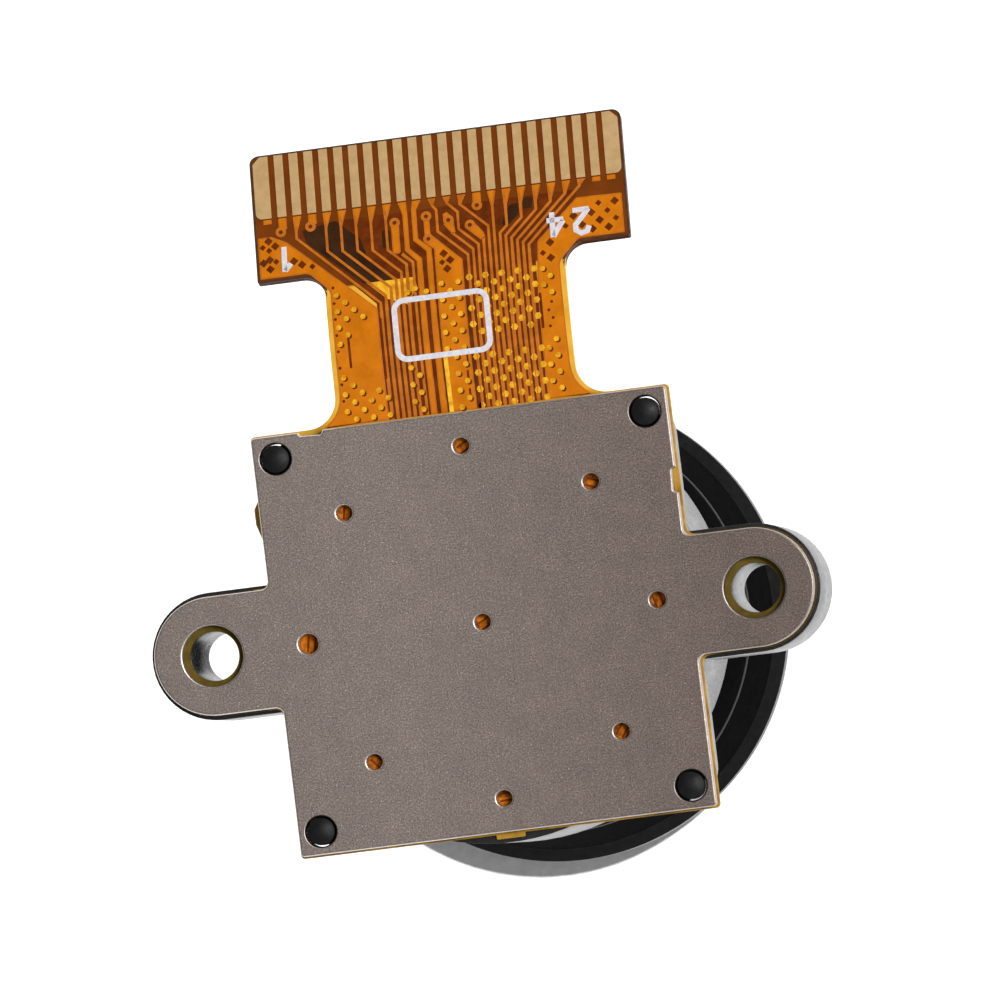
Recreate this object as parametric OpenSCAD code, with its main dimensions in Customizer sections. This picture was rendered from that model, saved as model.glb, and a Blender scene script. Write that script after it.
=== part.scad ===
// Wide-angle camera module: a fixed-focus lens in a threaded holder, an image
// sensor on a flexible printed circuit, and a stainless plate that stiffens it.
// Millimetres. The origin lies on the optical axis, on the rear face of the
// plate. +Z leaves the back, the lens looks along -Z, the tail runs to +Y.

/* [Stiffener plate] */
// Side of the square plate
plate_side = 13.8; // [13.2:0.1:14.4]
// Thickness of the plate
plate_thickness = 0.4; // [0.2:0.05:0.5]
// Corner radius of the plate
plate_corner_r = 0.25; // [0.1:0.05:0.6]
// Distance between the screw holes in the two ears
ear_pitch = 18; // [17.6:0.1:19]
// Radius of an ear's round end, and half its width
ear_r = 1.95; // [1.6:0.05:2.2]
// Fillet between an ear and the square
ear_fillet_r = 0.25; // [0.1:0.05:0.5]
// Diameter of the plate's screw holes
ear_hole_d = 2; // [1.8:0.1:2.4]
// Number of vent holes on the ring
vent_count = 8; // [4:1:10]
// Diameter of the ring of vent holes
vent_ring_d = 11.6; // [10.4:0.1:11.8]
// Diameter of a vent hole
vent_d = 0.52; // [0.4:0.02:0.7]
// Diameter of the one wide vent hole
wide_vent_d = 0.66; // [0.5:0.02:0.9]
// Length of the nicks left by the tabs that held the plate in its sheet
nick_length = 0.85; // [0.5:0.05:1.2]
// Depth of those nicks
nick_depth = 0.15; // [0.05:0.05:0.3]
// Place of the nick in the right edge, above the ears
right_nick_y = 3.8; // [3:0.1:5]
// Place of the nick in the tail edge, left of the tail
tail_nick_x = -4.9; // [-5.3:0.1:-4.7]

/* [Flexible circuit] */
// Thickness of the adhesive film under the plate
film_thickness = 0.05; // [0.03:0.01:0.1]
// Thickness of the flexible circuit
flex_thickness = 0.12; // [0.1:0.01:0.2]
// How far the circuit shows around the plate
flex_margin = 0.1; // [0.05:0.01:0.2]
// Diameter of the screw holes in the circuit and its film
flex_hole_d = 1.64; // [1.6:0.02:1.68]
// Width of the tail's neck
neck_width = 8; // [7:0.1:8.6]
// Length of the neck, measured along the circuit
neck_length = 5.1; // [4:0.1:8]
// Fillet between the neck and the body
neck_root_r = 1; // [0.5:0.1:1.2]
// Fillet between the neck and the contact head
neck_tip_r = 0.75; // [0.4:0.05:1]
// How far past the holder the neck starts to bend
bend_gap = 0.1; // [0.05:0.05:0.3]
// Angle through which the neck droops
bend_angle = 18; // [8:1:30]
// Length of the contact head
head_length = 4.5; // [4:0.1:6]
// Corner radius at the tip of the contact head
head_corner_r = 0.3; // [0.1:0.05:0.5]
// Corner radius at the base of the contact head
head_base_r = 0.08; // [0.04:0.02:0.2]
// Thickness of the stiffener under the contact head
tail_stiffener_thickness = 0.18; // [0.1:0.02:0.3]
// How far that stiffener reaches into the neck
stiffener_reach = 0.5; // [0.1:0.05:0.7]
// Length of a stub left by a tab at the circuit's edge
stub_length = 0.95; // [0.5:0.05:1.2]
// How far such a stub stands out
stub_depth = 0.12; // [0.05:0.01:0.2]

/* [Contacts and tracks] */
// Number of contact fingers
finger_count = 24; // [20:2:30]
// Distance from one finger to the next
finger_pitch = 0.5; // [0.4:0.1:0.5]
// Width of a finger
finger_width = 0.31; // [0.2:0.01:0.35]
// Length of a finger
finger_length = 2.2; // [1.5:0.1:2.5]
// Gap between the fingers and the tip of the head
finger_inset = 0.07; // [0.03:0.01:0.2]
// Metal thickness of the fingers
finger_thickness = 0.035; // [0.02:0.005:0.06]
// Gap between the outer fingers and the sides of the head
outer_gap = 0.475; // [0.3:0.025:0.7]
// How much wider the two outer fingers are
outer_extra = 0.22; // [0.1:0.01:0.25]
// Cut at the outer tip corner of an outer finger
outer_cut = 0.24; // [0.1:0.02:0.3]
// Width of a track
track_width = 0.1; // [0.08:0.01:0.14]
// Distance from one track to the next in the neck
track_pitch = 0.25; // [0.2:0.01:0.28]
// Height of a track over the film
track_thickness = 0.03; // [0.02:0.005:0.04]
// Distance from the fingers to the line where the tracks turn
turn_gap = 1.05; // [0.6:0.05:1.2]
// How much later each right track turns than the one on its left
turn_step = 0.08; // [0.06:0.01:0.1]
// Gap between the middle of the tail and the tracks on either side
middle_gap = 0.35; // [0.3:0.05:0.4]
// Number of tracks that fan in from the left
left_tracks = 8; // [4:1:9]
// Number of tracks that fan in from the right
right_tracks = 9; // [4:1:10]

/* [Lens holder] */
// Side of the holder's square base
base_side = 13.4; // [13:0.1:13.8]
// Corner radius of the base
base_corner_r = 1.2; // [0.6:0.1:1.4]
// Thickness of the base under the sensor cavity
base_floor = 0.8; // [0.5:0.1:1.2]
// How much wider than the plate's the holder's ears are
ear_boss_margin = 0.15; // [0.05:0.05:0.3]
// Height of the ears
ear_boss_height = 3.6; // [2.5:0.1:5]
// Diameter of the pilot hole for a self-tapping screw
pilot_d = 1.62; // [1.4:0.02:1.7]
// Outer diameter of the tower round the lens thread
tower_d = 14.5; // [14:0.1:15]
// How far the tower stands out under the base
tower_height = 4.4; // [3:0.1:6]
// Chamfer on the rim of the tower
tower_chamfer = 0.15; // [0.05:0.05:0.3]
// Diameter of the pegs through the plate
peg_d = 0.9; // [0.7:0.05:1.1]
// Distance from a peg to the plate's two nearest edges
peg_inset = 0.76; // [0.7:0.02:0.9]
// Height of a peg's domed end over the plate
peg_rise = 0.12; // [0.05:0.01:0.2]
// Clearance around a peg
peg_clearance = 0.05; // [0.02:0.01:0.1]
// Side of the square cavity round the sensor
cavity_side = 10.6; // [10:0.1:11]
// Side of the square opening under the filter
window_side = 7; // [6:0.1:7.6]
// Ledge that the filter rests on, all round that opening
filter_ledge = 0.6; // [0.3:0.05:0.8]
// Thickness of the ledge
ledge_thickness = 0.6; // [0.4:0.1:1]

/* [Sensor board] */
// Width of the image sensor
sensor_width = 7.6; // [6:0.1:7.8]
// Height of the image sensor
sensor_height = 6.8; // [5:0.1:7]
// Thickness of the image sensor
sensor_thickness = 0.9; // [0.5:0.1:1.2]
// Thickness of the sensor's cover glass
cover_thickness = 0.4; // [0.3:0.05:0.6]
// Border of the sensor that the cover glass leaves free
cover_border = 0.35; // [0.2:0.05:0.6]
// Thickness of the infrared filter
filter_thickness = 0.3; // [0.2:0.05:0.5]
// Gap between the cover glass and the filter
filter_gap = 0.73; // [0.5:0.01:1.5]
// Clearance around the filter
filter_clearance = 0.1; // [0.05:0.05:0.2]
// Length of a capacitor
capacitor_length = 1; // [0.6:0.1:1.1]
// Width and height of a capacitor
capacitor_width = 0.5; // [0.3:0.05:0.6]
// Number of capacitors on each side of the sensor
capacitors_per_side = 4; // [2:1:5]
// Distance from one capacitor to the next
capacitor_pitch = 1.5; // [1.3:0.1:1.8]
// Side of a square voltage regulator
regulator_side = 1; // [0.8:0.1:1.2]
// Height of a voltage regulator
regulator_height = 0.45; // [0.3:0.05:0.6]
// Distance between the two voltage regulators
regulator_spacing = 2.6; // [1.6:0.1:4]
// Gap between the sensor and the small parts beside it
part_gap = 0.35; // [0.2:0.05:0.45]

/* [Lens barrel] */
// Pitch diameter of the M12 x 0.5 lens thread
thread_d = 11.7; // [11.4:0.05:11.8]
// Clearance between the lens thread and the holder, all round
thread_clearance = 0.03; // [0.01:0.01:0.06]
// Gap between the filter ledge and the rear of the lens
lens_gap = 0.7; // [0.3:0.1:1.5]
// Chamfer at the rear end of the thread
thread_chamfer = 0.3; // [0.1:0.05:0.5]
// Diameter of the relief behind the collar
relief_d = 12.4; // [12:0.1:13]
// Diameter of the rounded collar
collar_d = 13.96; // [13.6:0.02:14.2]
// Diameter at the back of the lens head
head_back_d = 15.2; // [14.8:0.1:15.6]
// Largest diameter of the lens head
lens_head_d = 16; // [15.8:0.1:17]
// Diameter of the lens head at its front rim
front_rim_d = 15.4; // [15:0.1:15.7]
// Length of the lens head, from the rim to its back chamfer
lens_head_length = 2.9; // [2.4:0.1:3.4]
// Length of the straight band at the head's largest diameter
head_band = 0.7; // [0.4:0.1:1]
// Length of the cone between the collar and the lens head
skirt_length = 2.3; // [1.8:0.1:2.8]
// Length of the cone behind the collar
collar_cone = 1.7; // [1:0.1:2]
// Opening in the rear lip of the barrel
lip_d = 8; // [7.8:0.1:8.2]
// Thickness of the rear lip
lip_thickness = 0.5; // [0.4:0.1:0.8]
// How far the rim stands proud of the front glass
rim_guard = 0.4; // [0.2:0.1:0.8]

/* [Glass and spacers] */
// Clearance of the glass and spacers in the barrel, all round
glass_clearance = 0.02; // [0.01:0.01:0.04]
// Diameter of the four rear elements
small_glass_d = 8.8; // [8.6:0.1:9]
// Diameter of the second element
middle_glass_d = 10.4; // [10:0.1:10.6]
// Diameter of the front element
front_glass_d = 12.8; // [12.6:0.1:12.9]
// Width of the flat edge that each element seats on
seat_width = 0.6; // [0.4:0.05:0.7]
// Edge thickness of the rear element
rear_element_edge = 1.2; // [1:0.1:1.6]
// Bulge of the rear element on both faces
rear_element_sag = 0.4; // [0.2:0.05:0.45]
// Thickness of the spacer in front of the rear element
rear_spacer_thickness = 0.6; // [0.5:0.1:1]
// Edge thickness of the flint half of the doublet
flint_edge = 0.9; // [0.8:0.1:1.3]
// Edge thickness of the crown half of the doublet
crown_edge = 0.7; // [0.6:0.1:1.1]
// Depth of the cemented surface of the doublet
cement_sag = 0.5; // [0.3:0.05:0.6]
// Bulge of the doublet's front face
crown_sag = 0.35; // [0.2:0.05:0.4]
// Thickness of the aperture stop
stop_thickness = 0.6; // [0.55:0.05:0.9]
// Thickness of the stop's web
stop_web = 0.12; // [0.08:0.01:0.15]
// Diameter of the aperture
aperture_d = 2.6; // [1.6:0.1:4]
// Edge thickness of the third element
third_element_edge = 1.8; // [1.5:0.1:2.2]
// Bulge of the third element's front face
third_element_sag = 0.6; // [0.3:0.1:0.9]
// Thickness of the spacer in front of the third element
middle_spacer_thickness = 1.2; // [1:0.1:1.6]
// Edge thickness of the second element
second_element_edge = 2; // [1.7:0.1:2.4]
// Hollow of the second element's rear face
second_element_hollow = 1.3; // [0.8:0.1:1.4]
// Bulge of the second element's front face
second_element_sag = 0.5; // [0.3:0.1:0.8]
// Thickness of the spacer behind the front element
front_spacer_thickness = 1.6; // [1.6:0.1:1.9]
// Edge thickness of the front element
front_element_edge = 2; // [1.8:0.1:2.2]
// Hollow of the front element's rear face
front_element_hollow = 2; // [1.2:0.1:2.4]
// Bulge of the front element's front face
front_element_sag = 2.7; // [2:0.1:3]
// Thickness of the seal in front of the front element
seal_thickness = 0.2; // [0.1:0.05:0.3]
// Thickness of the retaining ring
ring_thickness = 1.7; // [1.2:0.1:1.9]
// Diameter of the retaining ring
ring_d = 14.1; // [13.8:0.05:14.2]
// Bevel on the inner edge of the retaining ring
ring_bevel = 0.35; // [0.1:0.05:0.4]

/* [Hidden] */
$fn = 96;

// Depths below the rear face of the plate, from the back to the lens.
film_depth = plate_thickness;
flex_depth = film_depth + film_thickness;
board_depth = flex_depth + flex_thickness;
cover_depth = board_depth + sensor_thickness;
filter_depth = cover_depth + cover_thickness + filter_gap;
ledge_depth = filter_depth + filter_thickness;
bore_depth = ledge_depth + ledge_thickness;
base_depth = filter_depth + base_floor;
ear_boss_depth = board_depth + ear_boss_height;
tower_depth = base_depth + tower_height;

// Depths of the lens, stacked from its rear lip to its front rim.
lens_rear = bore_depth + lens_gap;
rear_element_depth = lens_rear + lip_thickness;
rear_spacer_depth = rear_element_depth + rear_element_edge;
flint_depth = rear_spacer_depth + rear_spacer_thickness;
crown_depth = flint_depth + flint_edge;
stop_depth = crown_depth + crown_edge;
third_element_depth = stop_depth + stop_thickness;
middle_spacer_depth = third_element_depth + third_element_edge;
second_element_depth = middle_spacer_depth + middle_spacer_thickness;
front_spacer_depth = second_element_depth + second_element_edge;
front_element_depth = front_spacer_depth + front_spacer_thickness;
seal_depth = front_element_depth + front_element_edge;
ring_depth = seal_depth + seal_thickness;
lens_front = seal_depth + front_element_sag + rim_guard;
head_back_depth = lens_front - lens_head_length;
collar_depth = head_back_depth - skirt_length;
thread_end = collar_depth - collar_cone;

// The tail: a flat root, a bend about the X direction, and a straight tip.
flex_half = plate_side / 2 + flex_margin;
bend_start = max(flex_half, tower_d / 2) + bend_gap;
tip_length = neck_tip_r + head_length;
bend_length = neck_length - neck_tip_r - (bend_start - flex_half);
bend_r = bend_length * 180 / (PI * bend_angle);
bend_run = bend_r * sin(bend_angle);
bend_axis_depth = flex_depth + bend_r;
head_width = (finger_count - 1) * finger_pitch + 2 * outer_gap;
finger_base = tip_length - finger_inset - finger_length;
// The straight tip starts this little before the end of the bend, so the two fuse.
tip_overlap = 0.02;

// Clear radii of the glass.
small_clear_r = small_glass_d / 2 - seat_width;
middle_clear_r = middle_glass_d / 2 - seat_width;

peg_place = plate_side / 2 - peg_inset;
peg_hole_d = peg_d + 2 * peg_clearance;
filter_side = window_side + 2 * filter_ledge;
cover_width = sensor_width - 2 * cover_border;
cover_height = sensor_height - 2 * cover_border;

// ---- Shared shapes ----

// Extrudes a plan between two depths below the plate's rear face.
module between(top_depth, bottom_depth) {
    translate([0, 0, -bottom_depth]) linear_extrude(bottom_depth - top_depth) children();
}

// Turns a profile of radius and depth about the optical axis.
module turned() {
    rotate([180, 0, 0]) rotate_extrude() children();
}

module rounded_square(width, height, r) {
    square([width - 2 * r, height], center = true);
    square([width, height - 2 * r], center = true);
    for (x = [-1, 1], y = [-1, 1])
        translate([x * (width / 2 - r), y * (height / 2 - r)]) circle(r);
}

// Fills the corner between two walls that run from the origin to +X and +Y.
module corner_fillet(r) {
    difference() {
        square(r);
        translate([r, r]) circle(r);
    }
}

// Plan of the square body with its two round ears.
module eared_plan(side, corner_r, end_r) {
    rounded_square(side, side, corner_r);
    square([ear_pitch, 2 * end_r], center = true);
    for (x = [-1, 1]) {
        translate([x * ear_pitch / 2, 0]) circle(end_r);
        for (y = [-1, 1])
            scale([x, y]) translate([side / 2, end_r]) corner_fillet(ear_fillet_r);
    }
}

module at_ears() {
    for (x = [-1, 1]) translate([x * ear_pitch / 2, 0]) children();
}

module at_pegs() {
    for (x = [-1, 1], y = [-1, 1]) translate([x * peg_place, y * peg_place]) children();
}

module vent_holes() {
    circle(d = vent_d);
    for (i = [0 : vent_count - 1])
        rotate(180 + i * 360 / vent_count)
            translate([vent_ring_d / 2, 0]) circle(d = i == 0 ? wide_vent_d : vent_d);
}

// Holes of the plate, and of the film with its own screw holes.
module plate_holes(screw_hole_d) {
    at_ears() circle(d = screw_hole_d);
    at_pegs() circle(d = peg_hole_d);
    vent_holes();
}

// Moves a plan from the tip's own plane to the drooping tip of the tail.
module on_tip(height, thickness) {
    translate([0, bend_start, -bend_axis_depth])
        rotate([-bend_angle, 0, 0])
            translate([0, 0, bend_r + height]) linear_extrude(thickness) children();
}

// Side profile of a sheet round the bend, about the bend's axis.
module bend_profile(height, thickness) {
    reach = bend_r + bend_length;
    intersection() {
        difference() {
            circle(bend_r + height + thickness);
            circle(bend_r + height);
        }
        polygon([
            [0, 0], [0, reach], [reach * tan(bend_angle / 2), reach],
            [reach * sin(bend_angle), reach * cos(bend_angle)]
        ]);
    }
}

// Side profile of a sheet along the straight tip and past its end, about the
// same axis.
module tip_profile(height, thickness) {
    rotate(-bend_angle) translate([-tip_overlap, bend_r + height])
        square([tip_overlap + 2 * tip_length, thickness]);
}

// Sweeps a side profile across the tail.
module across_tail() {
    translate([0, bend_start, -bend_axis_depth])
        rotate([90, 0, 90]) linear_extrude(2 * head_width, center = true) children();
}

// ---- Plate and flexible circuit ----

module stiffener_plate() {
    color("#8a8078") between(0, plate_thickness) difference() {
        eared_plan(plate_side, plate_corner_r, ear_r);
        plate_holes(ear_hole_d);
        translate([plate_side / 2, right_nick_y])
            square([2 * nick_depth, nick_length], center = true);
        translate([tail_nick_x, plate_side / 2])
            square([nick_length, 2 * nick_depth], center = true);
    }
}

module bonding_film() {
    color("#c98a2a") between(film_depth, flex_depth) difference() {
        eared_plan(plate_side - 2 * nick_depth, plate_corner_r, ear_r - nick_depth);
        plate_holes(flex_hole_d);
    }
}

// Plan of the neck from the plate's edge, with the fillets at its root.
module neck_plan(length) {
    translate([-neck_width / 2, flex_half - flex_margin])
        square([neck_width, length + flex_margin]);
    for (x = [-1, 1])
        scale([x, 1]) translate([neck_width / 2, flex_half]) corner_fillet(neck_root_r);
}

// Plan of the straight tip from a start along it; slope is how much the plan
// shortens its lengths.
module tip_plan(start) {
    slope = cos(bend_angle);
    head_run = head_length * slope;
    fillet_run = neck_tip_r * slope;
    translate([0, bend_start + bend_run]) {
        translate([-neck_width / 2, start * slope])
            square([neck_width, fillet_run + head_run / 2 - start * slope]);
        translate([0, fillet_run]) difference() {
            translate([-head_width / 2, 0]) square([head_width, head_run]);
            for (x = [-1, 1]) {
                translate([x * head_width / 2, 0]) scale([-x, 1]) corner_fillet(head_base_r);
                translate([x * head_width / 2, head_run])
                    scale([-x, -1]) corner_fillet(head_corner_r);
            }
        }
        intersection() {
            translate([-head_width / 2, start * slope]) square([head_width, head_run]);
            for (x = [-1, 1])
                scale([x, -1]) translate([neck_width / 2, -fillet_run])
                    corner_fillet(fillet_run);
        }
    }
}

module flex_circuit() {
    color("#cd7814") {
        between(flex_depth, board_depth) difference() {
            union() {
                eared_plan(2 * flex_half, plate_corner_r, ear_r + flex_margin);
                intersection() {
                    neck_plan(neck_length);
                    square([2 * head_width, 2 * bend_start], center = true);
                }
                translate([0, -flex_half]) square([stub_length, 2 * stub_depth], center = true);
                translate([-flex_half, right_nick_y + stub_length / 2])
                    square([2 * stub_depth, stub_length], center = true);
            }
            at_ears() circle(d = flex_hole_d);
            at_pegs() circle(d = peg_hole_d);
        }
        intersection() {
            across_tail() {
                bend_profile(-flex_thickness, flex_thickness);
                tip_profile(-flex_thickness, flex_thickness);
            }
            between(0, bend_axis_depth) {
                neck_plan(neck_length);
                tip_plan(0);
            }
        }
    }
}

module tail_stiffener() {
    color("#5a2c0c") intersection() {
        across_tail()
            tip_profile(-flex_thickness - tail_stiffener_thickness, tail_stiffener_thickness);
        between(0, bend_axis_depth) tip_plan(neck_tip_r - stiffener_reach);
    }
}

function finger_x(i) = (i - (finger_count - 1) / 2) * finger_pitch;

// An outer finger is wider on its outer side, with its tip corner cut off and
// its base corner rounded.
module outer_finger() {
    round_r = outer_extra;
    half = finger_width / 2;
    difference() {
        union() {
            translate([-half, round_r])
                square([finger_width + outer_extra, finger_length - round_r]);
            translate([-half, 0]) square([finger_width, finger_length]);
            translate([half, round_r]) circle(round_r);
        }
        translate([half + outer_extra, finger_length]) rotate(45)
            square(outer_cut / cos(45), center = true);
    }
}

module contact_fingers() {
    color("#cbaa78") on_tip(0, finger_thickness) {
        for (i = [1 : finger_count - 2])
            translate([finger_x(i) - finger_width / 2, finger_base])
                square([finger_width, finger_length]);
        for (x = [-1, 1])
            scale([x, 1]) translate([finger_x(finger_count - 1), finger_base]) outer_finger();
    }
}

// Outline of one track: straight from its finger, a run at 45 degrees, and
// straight on in its lane. Distances y run along the tail from the end of the
// bend, and go below zero on the bend.
function track_outline(x0, x1, start, turn, stop) =
    let (
        side = sign(x1 - x0), run = abs(x1 - x0),
        half = track_width / 2, mitre = side * half * tan(22.5)
    )
    [
        [x0 + half, start], [x0 + half, turn + mitre],
        [x1 + half, turn - run + mitre], [x1 + half, stop],
        [x1 - half, stop], [x1 - half, turn - run - mitre],
        [x0 - half, turn - mitre], [x0 - half, start]
    ];

// The left tracks all turn at one line; the right ones turn one by one, each
// just clear of its neighbour.
turn_y = finger_base - turn_gap;
left_first = 4;
right_first = finger_count - 12;
function left_track(i) =
    let (x0 = finger_x(left_first + i), x1 = track_pitch * (i + 1 - left_tracks) - middle_gap)
    track_outline(x0, x1, finger_base, turn_y, -bend_length);
function right_track(i) =
    let (x0 = finger_x(right_first + i), x1 = track_pitch * i + middle_gap)
    track_outline(x0, x1, finger_base, turn_y + turn_step * i, -bend_length);
function tracks() = [
    for (i = [0 : left_tracks - 1]) left_track(i),
    for (i = [0 : right_tracks - 1]) right_track(i)
];

// Shortens lengths along the tail to their plan lengths.
function on_plan(p) = [
    p.x, bend_start + bend_run + p.y * (p.y > 0 ? cos(bend_angle) : bend_run / bend_length)
];

module copper_tracks() {
    color("#b0641e") intersection() {
        across_tail() {
            bend_profile(0, track_thickness);
            tip_profile(0, track_thickness);
        }
        between(0, bend_axis_depth)
            for (outline = tracks()) polygon([for (p = outline) on_plan(p)]);
    }
}

// ---- Holder and sensor board ----

module lens_holder() {
    boss_r = ear_r + ear_boss_margin;
    cavity_r = 0.5;
    overlap = 0.1;
    color("#1c1b1c") {
        difference() {
            union() {
                between(board_depth, base_depth) rounded_square(base_side, base_side, base_corner_r);
                between(board_depth, ear_boss_depth) {
                    square([ear_pitch, 2 * boss_r], center = true);
                    at_ears() circle(boss_r);
                }
                turned() polygon([
                    [0, board_depth], [tower_d / 2, board_depth],
                    [tower_d / 2, tower_depth - tower_chamfer],
                    [tower_d / 2 - tower_chamfer, tower_depth], [0, tower_depth]
                ]);
            }
            between(board_depth - overlap, filter_depth)
                rounded_square(cavity_side, cavity_side, cavity_r);
            between(filter_depth - overlap, ledge_depth)
                square(filter_side + 2 * filter_clearance, center = true);
            between(ledge_depth - overlap, bore_depth + overlap)
                square(window_side, center = true);
            between(bore_depth, tower_depth + overlap)
                circle(thread_d / 2 + thread_clearance);
            between(board_depth - overlap, ear_boss_depth + overlap)
                at_ears() circle(d = pilot_d);
        }
        at_pegs() peg();
    }
}

// A peg with a domed end that stands a little proud of the plate.
module peg() {
    dome_r = (pow(peg_d / 2, 2) + pow(peg_rise, 2)) / (2 * peg_rise);
    rotate_extrude() {
        translate([0, -board_depth]) square([peg_d / 2, board_depth]);
        intersection() {
            translate([0, peg_rise - dome_r]) circle(dome_r);
            square([peg_d / 2, peg_rise]);
        }
    }
}

module image_sensor() {
    color("#2c3030") between(board_depth, cover_depth)
        square([sensor_width, sensor_height], center = true);
}

module sensor_cover_glass() {
    color("#9fb4b8") between(cover_depth, cover_depth + cover_thickness)
        square([cover_width, cover_height], center = true);
}

module capacitors() {
    color("#8a6a4a") between(board_depth, board_depth + capacitor_width)
        for (x = [-1, 1], i = [0 : capacitors_per_side - 1])
            translate([
                x * (sensor_width / 2 + part_gap + capacitor_width / 2),
                (i - (capacitors_per_side - 1) / 2) * capacitor_pitch
            ])
                square([capacitor_width, capacitor_length], center = true);
}

module voltage_regulators() {
    color("#232323") between(board_depth, board_depth + regulator_height)
        for (x = [-1, 1])
            translate([
                x * regulator_spacing / 2,
                -sensor_height / 2 - part_gap - regulator_side / 2
            ])
                square(regulator_side, center = true);
}

module infrared_filter() {
    color("#86a9b0") between(filter_depth, ledge_depth) square(filter_side, center = true);
}

// ---- Lens ----

// A spherical cap over the radius axis: sag high and r wide.
module cap_profile(r, sag) {
    sphere_r = (r * r + sag * sag) / (2 * sag);
    intersection() {
        translate([0, sag - sphere_r]) circle(sphere_r, $fn = 360);
        square([r, sag]);
    }
}

// A lens element from its rear edge depth, with the clear radius of each face;
// a sag above zero bulges out and one below zero is hollow.
module element(diameter, rear_depth, edge, rear_clear_r, rear_sag, front_sag) {
    r = diameter / 2;
    front_clear_r = r - seat_width;
    turned() translate([0, rear_depth]) difference() {
        union() {
            square([r, edge]);
            if (rear_sag > 0) mirror([0, 1]) cap_profile(rear_clear_r, rear_sag);
            if (front_sag > 0) translate([0, edge]) cap_profile(front_clear_r, front_sag);
        }
        if (rear_sag < 0) cap_profile(rear_clear_r, -rear_sag);
        if (front_sag < 0)
            translate([0, edge]) mirror([0, 1]) cap_profile(front_clear_r, -front_sag);
    }
}

// A plain ring that leaves the clear aperture of its elements free.
module spacer(diameter, depth, thickness) {
    turned() translate([diameter / 2 - seat_width, depth]) square([seat_width, thickness]);
}

module lens_barrel() {
    small_r = small_glass_d / 2 + glass_clearance;
    middle_r = middle_glass_d / 2 + glass_clearance;
    front_r = front_glass_d / 2 + glass_clearance;
    ring_r = ring_d / 2 + glass_clearance;
    back_chamfer = (lens_head_d - head_back_d) / 2;
    band_depth = head_back_depth + back_chamfer;
    rim_round = 0.12;
    color("#171718") turned() polygon([
        [lip_d / 2, lens_rear],
        [thread_d / 2 - thread_chamfer, lens_rear],
        [thread_d / 2, lens_rear + thread_chamfer],
        [thread_d / 2, thread_end],
        [relief_d / 2, thread_end],
        [collar_d / 2, collar_depth],
        [head_back_d / 2, head_back_depth],
        [lens_head_d / 2, band_depth],
        [lens_head_d / 2, band_depth + head_band],
        [front_rim_d / 2 + rim_round, lens_front - rim_round],
        [front_rim_d / 2 - rim_round, lens_front],
        [ring_r, lens_front],
        [ring_r, seal_depth],
        [front_r, seal_depth],
        [front_r, front_element_depth],
        [middle_r, front_element_depth],
        [middle_r, second_element_depth],
        [small_r, second_element_depth],
        [small_r, rear_element_depth],
        [lip_d / 2, rear_element_depth]
    ]);
}

module rear_element() {
    color("#7f9aa8") element(
        small_glass_d, rear_element_depth, rear_element_edge, small_clear_r,
        rear_element_sag, rear_element_sag);
}

module rear_spacer() {
    color("#202022") spacer(small_glass_d, rear_spacer_depth, rear_spacer_thickness);
}

module doublet_flint() {
    color("#8fa2a0") element(
        small_glass_d, flint_depth, flint_edge, small_clear_r, 0, -cement_sag);
}

module doublet_crown() {
    color("#9db0b4") element(
        small_glass_d, crown_depth, crown_edge, small_clear_r, cement_sag, crown_sag);
}

module aperture_stop() {
    r = small_glass_d / 2;
    color("#101011") turned() translate([0, stop_depth]) {
        translate([r - seat_width, 0]) square([seat_width, stop_thickness]);
        translate([aperture_d / 2, stop_thickness - stop_web])
            square([r - aperture_d / 2, stop_web]);
    }
}

module third_element() {
    color("#8ea6ae") element(
        small_glass_d, third_element_depth, third_element_edge, small_clear_r,
        0, third_element_sag);
}

module middle_spacer() {
    color("#202022") spacer(small_glass_d, middle_spacer_depth, middle_spacer_thickness);
}

module second_element() {
    color("#86a0a8") element(
        middle_glass_d, second_element_depth, second_element_edge, small_clear_r,
        -second_element_hollow, second_element_sag);
}

module front_spacer() {
    color("#202022") spacer(middle_glass_d, front_spacer_depth, front_spacer_thickness);
}

module front_element() {
    color("#7d98a6") element(
        front_glass_d, front_element_depth, front_element_edge, middle_clear_r,
        -front_element_hollow, front_element_sag);
}

module front_seal() {
    color("#0e0e0e") spacer(front_glass_d, seal_depth, seal_thickness);
}

module retaining_ring() {
    inner_r = front_glass_d / 2 - seat_width;
    color("#1b1b1c") turned() polygon([
        [inner_r, ring_depth],
        [ring_d / 2, ring_depth],
        [ring_d / 2, ring_depth + ring_thickness],
        [inner_r + ring_bevel, ring_depth + ring_thickness],
        [inner_r, ring_depth + ring_thickness - ring_bevel]
    ]);
}

stiffener_plate();
bonding_film();
flex_circuit();
contact_fingers();
copper_tracks();
tail_stiffener();
lens_holder();
image_sensor();
sensor_cover_glass();
capacitors();
voltage_regulators();
infrared_filter();
lens_barrel();
rear_element();
rear_spacer();
doublet_flint();
doublet_crown();
aperture_stop();
third_element();
middle_spacer();
second_element();
front_spacer();
front_element();
front_seal();
retaining_ring();
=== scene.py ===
"""Looks of the camera module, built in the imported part's own frame.

The module lies lens down: x runs along its plate, y towards the tip of the tail, z out of its
back. Shapes are drawn in millimetres and scaled to metres when they are finished. All that lies
on the flexible circuit is drawn on the flat sheet, and then bent with it.
"""

import math

import bmesh
import bpy
from mathutils import Matrix, Vector


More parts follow.
